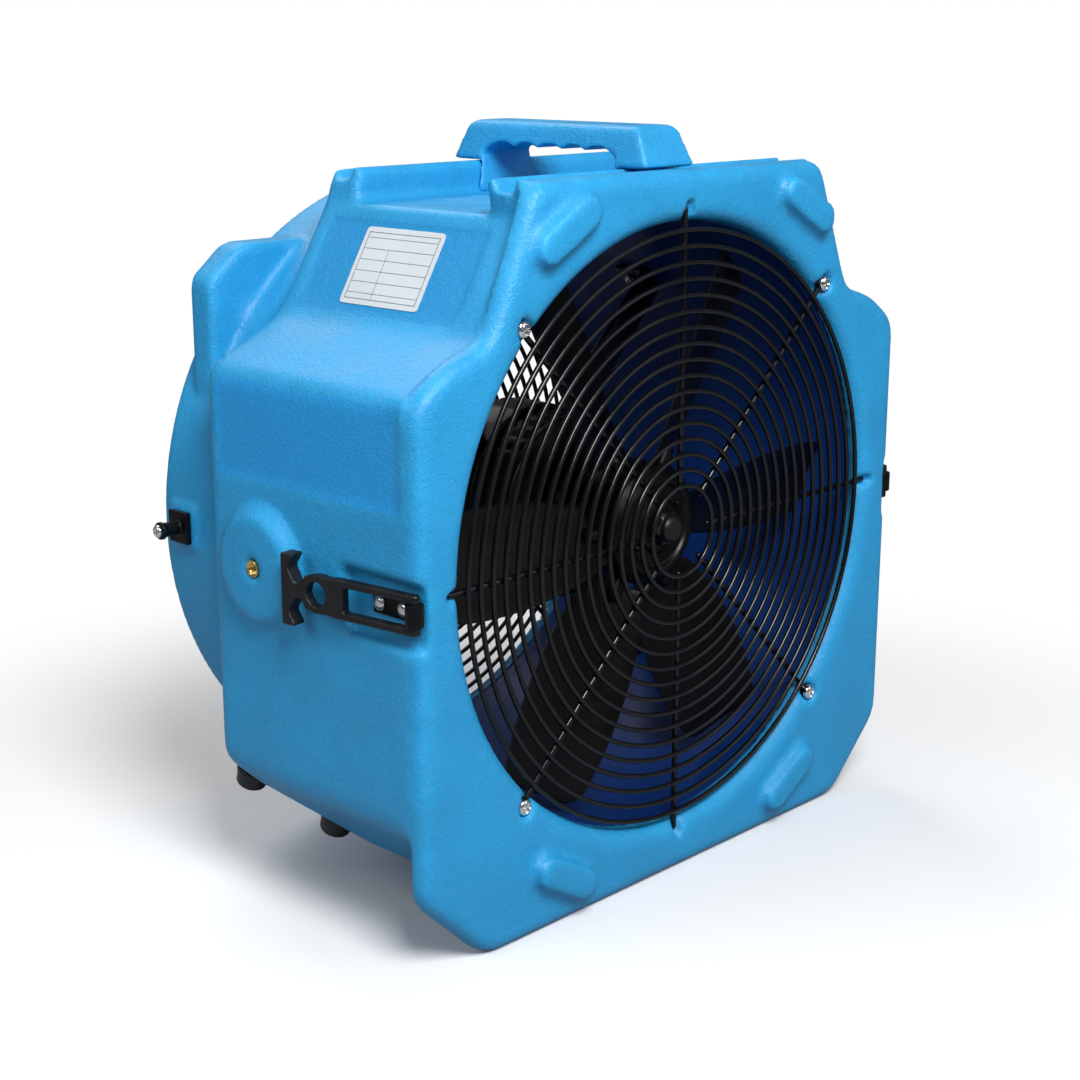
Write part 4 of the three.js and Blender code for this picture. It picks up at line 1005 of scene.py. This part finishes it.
@dataclass
class Fan:
    """Six twisted blades on a turned hub, held by a nut on the motor's shaft."""

    blades: int = 6
    depth: float = 41 * MM
    hub_radius: float = 42 * MM
    hub_length: float = 38 * MM
    tip_gap: float = 8 * MM
    root_chord: float = 46 * MM
    tip_chord: float = 62 * MM
    belly: float = 16 * MM
    root_pitch: float = math.radians(34)
    tip_pitch: float = math.radians(21)
    thickness: float = 3.2 * MM
    camber: float = 0.07
    shaft: float = 8 * MM
    bolt_circle: float = 24 * MM

    def blade(self, turn: float, name: str) -> bpy.types.Mesh:
        """One blade: a thin rounded section carried out along a radius while it widens and flattens.

        With s across the chord from -1/2 to 1/2 and t from root to tip, the chord is
        root + t * (tip - root) + 4 t (1 - t) * belly. The middle line is at s * chord along the
        pitch and camber * chord * (1 - 4 s^2) square to it, and half the thickness goes with
        (1 - (2 s)^6)^(1/2). The tip's corners fall back with (2 s)^6.

        Args:
            turn: the blade's angle about the fan axis.
            name: the mesh's name.

        Returns:
            The mesh.
        """
        root = self.hub_radius + 2 * MM
        span = LAYOUT.bore - self.tip_gap - root
        share = np.concatenate([[0, 0.004, 0.012], np.linspace(0.03, 0.97, 36), [0.988, 0.996, 1.0]])[:, None]
        around = np.linspace(0, 2 * np.pi, 64, endpoint=False)[None]
        closing = np.sqrt(np.clip(1 - (2 * share - 1) ** 60, 0, 1))
        across = 0.5 * np.sign(np.cos(around)) * np.abs(np.cos(around)) ** 0.7 * (0.86 + 0.14 * closing)
        chord = self.root_chord + share * (self.tip_chord - self.root_chord)
        chord = chord + 4 * share * (1 - share) * self.belly
        chord = chord * (1 - 0.1 * (1 - share) ** 8)
        pitch = self.root_pitch + share * (self.tip_pitch - self.root_pitch)
        skin = np.sign(np.sin(around)) * np.sqrt(np.clip(1 - np.abs(2 * across) ** 6, 0, 1))
        rise = self.camber * chord * (1 - 4 * across**2) + skin * closing * self.thickness / 2
        along = across * chord
        out = root + share * span - 0.06 * span * share**6 * np.abs(2 * across) ** 6
        side = along * np.cos(pitch) + rise * np.sin(pitch)
        back = self.depth - along * np.sin(pitch) + rise * np.cos(pitch)
        grid = np.stack([
            out * math.cos(turn) - side * math.sin(turn),
            back,
            out * math.sin(turn) + side * math.cos(turn),
        ], -1) + LAYOUT.point(0, 0, 0)
        stub = rod(LAYOUT.about_axis(self.hub_radius - 10 * MM, turn, self.depth),
                   LAYOUT.about_axis(root + 14 * MM, turn, self.depth), 5.6 * MM, 20)
        return Surface().add_grid(grid, False, True).add_grid(stub, False, True).mesh(name)

    def hub(self) -> bpy.types.Mesh:
        """A stepped drum turned about the fan axis, with a bolt between each two blades in its dish."""
        front = self.depth - self.hub_length / 2
        bore, radius = self.shaft + 0.3 * MM, self.hub_radius
        profile = rounded([
            (bore, front), (bore + 9 * MM, front), (bore + 11 * MM, front + 3 * MM),
            (radius - 14 * MM, front + 3 * MM), (radius - 12 * MM, front), (radius - 8 * MM, front),
            (radius, front + 7 * MM),
            (radius, front + self.hub_length), (bore, front + self.hub_length),
        ], 1.5 * MM)
        drum = Surface().add_grid(spun(profile), True, True)
        for turn in np.arange(self.blades) * 2 * np.pi / self.blades + np.pi / self.blades:
            ends = (LAYOUT.about_axis(self.bolt_circle, turn, front + depth) for depth in (0.8 * MM, 6 * MM))
            drum.add_grid(rod(*ends, 2.6 * MM), False, True)
        return drum.mesh("hub_drum")

    def nut(self) -> bpy.types.Mesh:
        """A six-sided cap nut: its outer radius is flat / cos(angle from the flat's middle)."""
        low, high = depths_of("fan_nut")
        profile = [(self.shaft + 0.3 * MM, low), (10.4 * MM, low), (13 * MM, low + 1.6 * MM),
                   (13 * MM, high), (self.shaft + 0.3 * MM, high)]
        grid = spun(profile)
        local = grid - LAYOUT.point(0, 0, 0)
        angle = np.mod(np.arctan2(local[..., 2], local[..., 0]), np.pi / 3) - np.pi / 6
        flat = 11.2 * MM / np.cos(angle)
        distance = np.hypot(local[..., 0], local[..., 2])
        pull = np.where(distance > self.shaft + 2 * MM, np.minimum(distance, flat) / distance, 1)
        local[..., 0] *= pull
        local[..., 2] *= pull
        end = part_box("motor_shaft")[0].y - LAYOUT.front
        outer, inner, foot = self.shaft + 1.6 * MM, self.shaft + 0.2 * MM, low + 1 * MM
        cap = rounded([
            (0, end - 1.2 * MM), (self.shaft - 1 * MM, end - 1 * MM), (outer, end + 1.4 * MM), (outer, foot),
            (inner, foot), (inner, end - 0.2 * MM), (0, end - 0.2 * MM),
        ], 1 * MM)
        dome = spun(cap)
        nut = Surface().add_grid(local + LAYOUT.point(0, 0, 0), True, True)
        return nut.add_grid(dome, False, True).mesh("hub_nut")

    def build(self) -> None:
        """Makes the blades, hub and nut, and dresses the shaft."""
        for number in range(self.blades):
            name = f"blade_{number + 1}"
            turn = number * 2 * math.pi / self.blades
            fitted(name, self.blade(turn, name), Body.FAN, Slot.PLASTIC, f"fan_blade_{number + 1}")
        fitted("hub_drum", self.hub(), Body.FAN, Slot.PLASTIC, "fan_hub")
        fitted("hub_nut", self.nut(), Body.FAN, Slot.MOTOR, "fan_nut")
        low, high = depths_of("motor_shaft")
        edge = 1 * MM
        profile = [(0, low), (self.shaft - edge, low), (self.shaft, low + edge), (self.shaft, high),
                   (0, high)]
        bar = spun(profile, 48)
        fitted("drive_shaft", Surface().add_grid(bar, False, True).mesh("drive_shaft"), Body.FAN, Slot.STEEL,
               "motor_shaft")


@dataclass
class Motor:
    """The fan motor: a ribbed shell, two end bells, its mount and its capacitor."""

    radius: float = 65 * MM
    ribs: int = 36

    def shell(self) -> bpy.types.Mesh:
        """A tube whose outside swells into low ribs: radius - 1.2 mm * (1 - |cos(ribs / 2 * a)|)."""
        low, high = depths_of("motor_shell")
        wall = 4 * MM
        outside = [(self.radius - 1 * MM, low), (self.radius, low + 2 * MM), (self.radius, high - 2 * MM),
                   (self.radius - 1 * MM, high)]
        inside = [(self.radius - wall, high), (self.radius - wall, low)]
        grid = spun(outside + inside, 288)
        local = grid[1:3] - LAYOUT.point(0, 0, 0)
        angle = np.arctan2(local[..., 2], local[..., 0])
        share = 1 - 1.2 * MM / self.radius * (1 - np.abs(np.cos(self.ribs / 2 * angle)))
        local[..., 0] *= share
        local[..., 2] *= share
        grid[1:3] = local + LAYOUT.point(0, 0, 0)
        return Surface().add_grid(grid, True, True).mesh("motor_case")

    def bell(self, node: str, outward: int, name: str) -> bpy.types.Mesh:
        """An end cap: a shallow dome with a raised bearing boss, turned about the fan axis."""
        low, high = depths_of(node)
        face, rim = (low, high) if outward < 0 else (high, low)
        inward = 1 if outward < 0 else -1
        profile = rounded([
            (9 * MM, face), (24 * MM, face), (26 * MM, face + inward * 3 * MM),
            (self.radius - 18 * MM, face + inward * 2.5 * MM), (self.radius, face + inward * 8.5 * MM),
            (self.radius, rim), (self.radius - 4 * MM, rim), (self.radius - 4 * MM, face + inward * 10 * MM),
            (22.5 * MM, face + inward * 6.5 * MM), (22.5 * MM, rim), (18 * MM, rim),
            (18 * MM, face + inward * 3.2 * MM), (9 * MM, face + inward * 3.2 * MM),
        ], 1.4 * MM)
        grid = spun(profile, 96)
        return Surface().add_grid(grid, True, True).mesh(name)

    def build(self) -> None:
        """Makes the motor's outside and dresses what is inside it."""
        fitted("motor_case", self.shell(), Body.HOUSING, Slot.MOTOR, "motor_shell")
        for node, outward, name in (("front_end_bell", -1, "front_bell"), ("rear_end_bell", 1, "rear_bell")):
            fitted(name, self.bell(node, outward, name), Body.HOUSING, Slot.MOTOR, node)
        soft_piece("motor_mount", "mount_spider", Body.HOUSING, Slot.MOTOR, 1.6 * MM, 3)
        soft_piece("run_capacitor", "capacitor_can", Body.HOUSING, Slot.PLASTIC, 1.5 * MM, 3)
        for node, slot in (("motor_rotor", Slot.STEEL), ("motor_stator", Slot.COPPER),
                           ("front_bearing", Slot.STEEL), ("rear_bearing", Slot.STEEL)):
            mesh = frame["nodes"][node].data
            mesh.materials.clear()
            mesh.materials.append(PAINTS[slot])
            log.info("%s: dressed", node)


@dataclass
class SideHardware:
    """The draw latches, keepers and threaded inserts of both sides."""

    insert_radius: float = 5.6 * MM
    insert_bore: float = 4 * MM
    thread_pitch: float = 1.25 * MM

    def insert(self, node: str, side: int, name: str) -> bpy.types.Mesh:
        """A threaded bush: the bore's radius is bore + 0.3 mm * cos of the turns along it."""
        low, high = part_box(node)
        face = high.x if side > 0 else low.x
        length = high.x - low.x
        depths = np.linspace(0.6 * MM, length - 0.6 * MM, 90)
        thread = self.insert_bore + 0.28 * MM + 0.28 * MM * np.cos(2 * np.pi * depths / self.thread_pitch)
        inside = np.stack([thread, depths], -1)[::-1]
        outside = [
            (self.insert_bore + 1 * MM, 0), (self.insert_radius - 0.4 * MM, 0),
            (self.insert_radius, 0.4 * MM), (self.insert_radius, length),
            (self.insert_bore + 0.8 * MM, length),
        ]
        middle = (low + high) / 2
        origin = np.array([face, middle.y, middle.z])
        grid = turned(np.concatenate([outside, inside]), origin, (-side, 0, 0), 48)
        return Surface().add_grid(grid, True, True).mesh(name)

    def build(self) -> None:
        """Makes the soft strap, tongue, keeper and insert on each side."""
        for hand, side in SIDES.items():
            latch = Body.LATCH_LEFT if side < 0 else Body.LATCH_RIGHT
            soft_piece(f"latch_strap_{hand}", f"draw_strap_{hand}", latch, Slot.RUBBER, 0.75 * MM, 7)
            soft_piece(f"latch_bracket_{hand}", f"tongue_{hand}", Body.HOUSING, Slot.PLASTIC, 0.5 * MM, 3)
            soft_piece(f"keeper_{hand}", f"keeper_post_{hand}", Body.HOUSING, Slot.PLASTIC, 0.7 * MM, 4)
            name = f"threaded_bush_{hand}"
            fitted(name, self.insert(f"pivot_insert_{hand}", side, name), Body.HOUSING, Slot.BRASS,
                   f"pivot_insert_{hand}")


@dataclass
class Feet:
    """Four tapered rubber bumpers on the rising underside."""

    slope: float = 0.43
    radius: float = 12 * MM
    tip: float = 10.3 * MM
    height: float = 15 * MM
    stem: float = 4 * MM

    def build(self) -> None:
        """Turns each bumper about the line square to the underside."""
        downward = np.array([0, self.slope, -1.0]) / math.hypot(self.slope, 1)
        profile = rounded([
            (0, -8.5 * MM), (self.stem, -8.5 * MM), (self.stem, 0.3 * MM), (self.radius, 0.3 * MM),
            (self.radius, 4 * MM), (self.radius - 0.7 * MM, 5 * MM), (self.tip, self.height - 1 * MM),
            (self.tip - 2 * MM, self.height), (3 * MM, self.height), (2.6 * MM, self.height - 2.5 * MM),
            (0, self.height - 2.5 * MM),
        ], 1 * MM)
        for number in range(1, 5):
            points = corners(f"bumper_foot_{number}")
            middle = points.mean(0)
            tip = middle + downward * ((points @ downward).max() - middle @ downward)
            grid = turned(profile, tip - downward * self.height, downward, 48)
            name = f"bumper_{number}"
            fitted(name, Surface().add_grid(grid, False, True).mesh(name), Body.HOUSING, Slot.RUBBER,
                   f"bumper_foot_{number}")


@dataclass
class Controls:
    """The control plate with its rocker, reset button and cord gland, on the right-hand side."""

    def build(self) -> None:
        """Softens the plate and the rocker, and turns the button and the gland."""
        soft_piece("control_plate", "switch_plate", Body.HOUSING, Slot.PLASTIC, 0.9 * MM, 3)
        soft_piece("power_rocker", "rocker_cap", Body.ROCKER, Slot.RED, 0.5 * MM, 4)
        low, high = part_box("reset_button")
        middle = (low + high) / 2
        inner = np.array([low.x, middle.y, middle.z])
        length, radius = high.x - low.x, (high.z - low.z) / 2
        dome = rounded([
            (0, 0), (radius, 0), (radius, length - 0.6 * MM), (radius - 0.8 * MM, length), (0, length),
        ], 0.8 * MM)
        button = Surface().add_grid(turned(dome, inner, (1, 0, 0), 40), False, True).mesh("reset_cap")
        fitted("reset_cap", button, Body.RESET, Slot.RED, "reset_button")
        low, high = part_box("cord_gland")
        middle = (low + high) / 2
        inner = np.array([low.x, middle.y, middle.z])
        length = high.x - low.x
        flange = length - 13 * MM
        profile = rounded([
            (0, 0), (9.5 * MM, 0), (9.5 * MM, flange + 0.3 * MM), (13 * MM, flange + 0.3 * MM),
            (13 * MM, flange + 4 * MM), (9.2 * MM, flange + 6 * MM), (8.6 * MM, flange + 8 * MM),
            (6.5 * MM, length), (4.2 * MM, length), (4 * MM, length - 6 * MM), (0, length - 6 * MM),
        ], 0.9 * MM)
        gland = Surface().add_grid(turned(profile, inner, (1, 0, 0), 48), False, True).mesh("gland")
        fitted("gland", gland, Body.HOUSING, Slot.PLASTIC, "cord_gland")


@dataclass
class RatingPlate:
    """A blank film on the upper left chamfer."""

    corner: float = 2.5 * MM

    def build(self) -> None:
        """Lays the film: corners rounded as (|x|^n + |y|^n)^(1/n) squares, with a map across it."""
        points = corners("rating_label")
        centre = points.mean(0)
        spread = points - centre
        directions = np.linalg.svd(spread, full_matrices=False)[2]
        along = np.array([0, 1.0, 0])
        out = directions[2] * (1 if directions[2][0] < 0 else -1)
        up = np.cross(out, along)
        up *= 1 if up[2] > 0 else -1
        half_width, half_height, half_thick = (np.abs(spread @ axis).max() for axis in (along, up, out))
        angle = np.arange(160) * 2 * np.pi / 160 + 0.001
        square = np.maximum(np.abs(np.cos(angle)), np.abs(np.sin(angle)))
        x, y = half_width * np.cos(angle) / square, half_height * np.sin(angle) / square
        inner_x, inner_y = half_width - self.corner, half_height - self.corner
        over_x, over_y = np.maximum(np.abs(x) - inner_x, 0), np.maximum(np.abs(y) - inner_y, 0)
        past = (over_x > 0) & (over_y > 0)
        shrink = np.where(past, self.corner / np.maximum(np.hypot(over_x, over_y), 1e-9), 1)
        x = np.sign(x) * (np.minimum(np.abs(x), inner_x) + over_x * np.minimum(shrink, 1))
        y = np.sign(y) * (np.minimum(np.abs(y), inner_y) + over_y * np.minimum(shrink, 1))
        rings = [(0, -1), (0.5, -1), (1, -1), (1, 1), (0.5, 1), (0, 1)]
        grid = np.stack([
            centre + scale * (x[:, None] * along + y[:, None] * up) + level * half_thick * out
            for scale, level in rings
        ])
        mesh = Surface().add_grid(grid, False, True).mesh("blank_plate")
        local = points_of(mesh) - centre
        spots = np.stack([0.5 - local @ along / half_width / 2, 0.5 + local @ up / half_height / 2], -1)
        loops = np.empty(len(mesh.loops), np.int32)
        mesh.loops.foreach_get("vertex_index", loops)
        mesh.uv_layers.new(name="plate").data.foreach_set("uv", spots[loops].ravel())
        fitted("blank_plate", mesh, Body.HOUSING, Slot.LABEL, "rating_label")


# ---------------------------------------------------------------- floor, light and camera
@dataclass(frozen=True)
class Lamp:
    """A square soft light that faces the blower."""

    name: str
    place: tuple[float, float, float]
    size: float
    power: float
    tint: tuple[float, float, float] = (1.0, 1.0, 1.0)


@dataclass
class Studio:
    """A plain pale floor, soft lights and the camera."""

    place: tuple[float, float, float] = (-0.9577, -0.9140, 0.5634)
    azimuth: float = math.radians(46.31)
    tilt: float = math.radians(14.82)
    lens: float = 63.5
    floor_colour: tuple[float, float, float, float] = (0.93, 0.94, 0.95, 1.0)
    floor_bounce: tuple[float, float, float, float] = (0.3, 0.31, 0.33, 1.0)
    white: tuple[float, float, float, float] = (1.0, 1.0, 1.0, 1.0)
    surround: float = 0.17
    fade: tuple[float, float] = (0.3, 0.72)
    floor_reach: float = 40.0
    lamps: tuple[Lamp, ...] = (
        Lamp("key", (-0.65, -1.15, 1.45), 0.7, 36.0),
        Lamp("front_fill", (1.1, -2.2, 1.3), 1.4, 8.0),
        Lamp("left_fill", (-2.1, 0.5, 1.6), 1.2, 14.0),
        Lamp("back", (0.5, 1.5, 2.1), 1.2, 18.0),
    )

    def floor(self) -> None:
        """A wide plane with a faint mottle, which the camera sees fade to white further out."""
        reach = self.floor_reach
        mesh = bpy.data.meshes.new("floor")
        mesh.from_pydata([(-reach, -reach, 0), (reach, -reach, 0), (reach, reach, 0), (-reach, reach, 0)], [],
                         [(0, 1, 2, 3)])
        made = bpy.data.materials.new("floor")
        made.use_nodes = True
        tree = Tree(made.node_tree)
        made.node_tree.nodes.clear()
        darker = (*(0.985 * channel for channel in self.floor_colour[:3]), 1.0)
        seen = tree.add("ShaderNodeLightPath").outputs["Is Camera Ray"]
        colour = tree.blend(seen, self.floor_bounce, tree.blend(tree.noise(3.0), darker, self.floor_colour))
        paper = tree.add("ShaderNodeBsdfPrincipled", {"Base Color": colour, "Roughness": 0.6})
        glow = tree.add("ShaderNodeEmission", {"Color": self.white, "Strength": 1.0})
        away = tree.add("ShaderNodeVectorMath", {0: tree.place()}, operation="LENGTH").outputs["Value"]
        share = tree.maths("MULTIPLY", tree.ramp(away, *self.fade), seen)
        mixed = tree.add("ShaderNodeMixShader", {0: share, 1: paper.outputs[0], 2: glow.outputs[0]})
        tree.add("ShaderNodeOutputMaterial", {"Surface": mixed.outputs[0]})
        mesh.materials.append(made)
        plane = bpy.data.objects.new("floor", mesh)
        bpy.context.scene.collection.objects.link(plane)

    def light(self) -> None:
        """A dim surround that the camera sees as white, and the soft lamps."""
        world = bpy.data.worlds.new("surround")
        world.use_nodes = True
        world.node_tree.nodes.clear()
        tree = Tree(world.node_tree)
        seen = tree.add("ShaderNodeLightPath").outputs["Is Camera Ray"]
        strength = tree.ramp(seen, 0.0, 1.0, (self.surround, 1.0))
        sky = tree.add("ShaderNodeBackground", {"Color": self.white, "Strength": strength})
        tree.add("ShaderNodeOutputWorld", {"Surface": sky.outputs[0]})
        bpy.context.scene.world = world
        aim = Vector((0, 0, LAYOUT.axis_height))
        for lamp in self.lamps:
            data = bpy.data.lights.new(lamp.name, "AREA")
            data.shape = "SQUARE"
            data.size = lamp.size
            data.energy = lamp.power
            data.color = lamp.tint
            holder = bpy.data.objects.new(lamp.name, data)
            holder.location = lamp.place
            holder.rotation_mode = "QUATERNION"
            holder.rotation_quaternion = (aim - Vector(lamp.place)).to_track_quat("-Z", "Y")
            bpy.context.scene.collection.objects.link(holder)

    def camera(self) -> None:
        """The camera, ahead and to the left of the blower and a little above it."""
        data = bpy.data.cameras.new("camera")
        data.sensor_width = 36.0
        data.lens = self.lens
        holder = bpy.data.objects.new("camera", data)
        level = math.cos(self.tilt)
        ahead = Vector((math.sin(self.azimuth) * level, math.cos(self.azimuth) * level, -math.sin(self.tilt)))
        holder.location = self.place
        holder.rotation_mode = "QUATERNION"
        holder.rotation_quaternion = ahead.to_track_quat("-Z", "Y")
        bpy.context.scene.collection.objects.link(holder)
        bpy.context.scene.camera = holder

    def build(self) -> None:
        """Makes the floor, the lights and the camera."""
        bpy.context.scene.view_settings.view_transform = "Standard"
        self.floor()
        self.light()
        self.camera()


def main() -> None:
    """Builds the studio and every sub-assembly in order."""
    logging.basicConfig(level=logging.INFO, format="%(name)s %(message)s")
    Studio().build()
    Housing().build()
    Guard("front_guard", 1).build("front_wirework")
    Guard("rear_guard", -1).build("rear_wirework")
    Fasteners().build()
    Fan().build()
    Motor().build()
    SideHardware().build()
    Feet().build()
    Controls().build()
    RatingPlate().build()


if __name__ == "__main__":
    main()
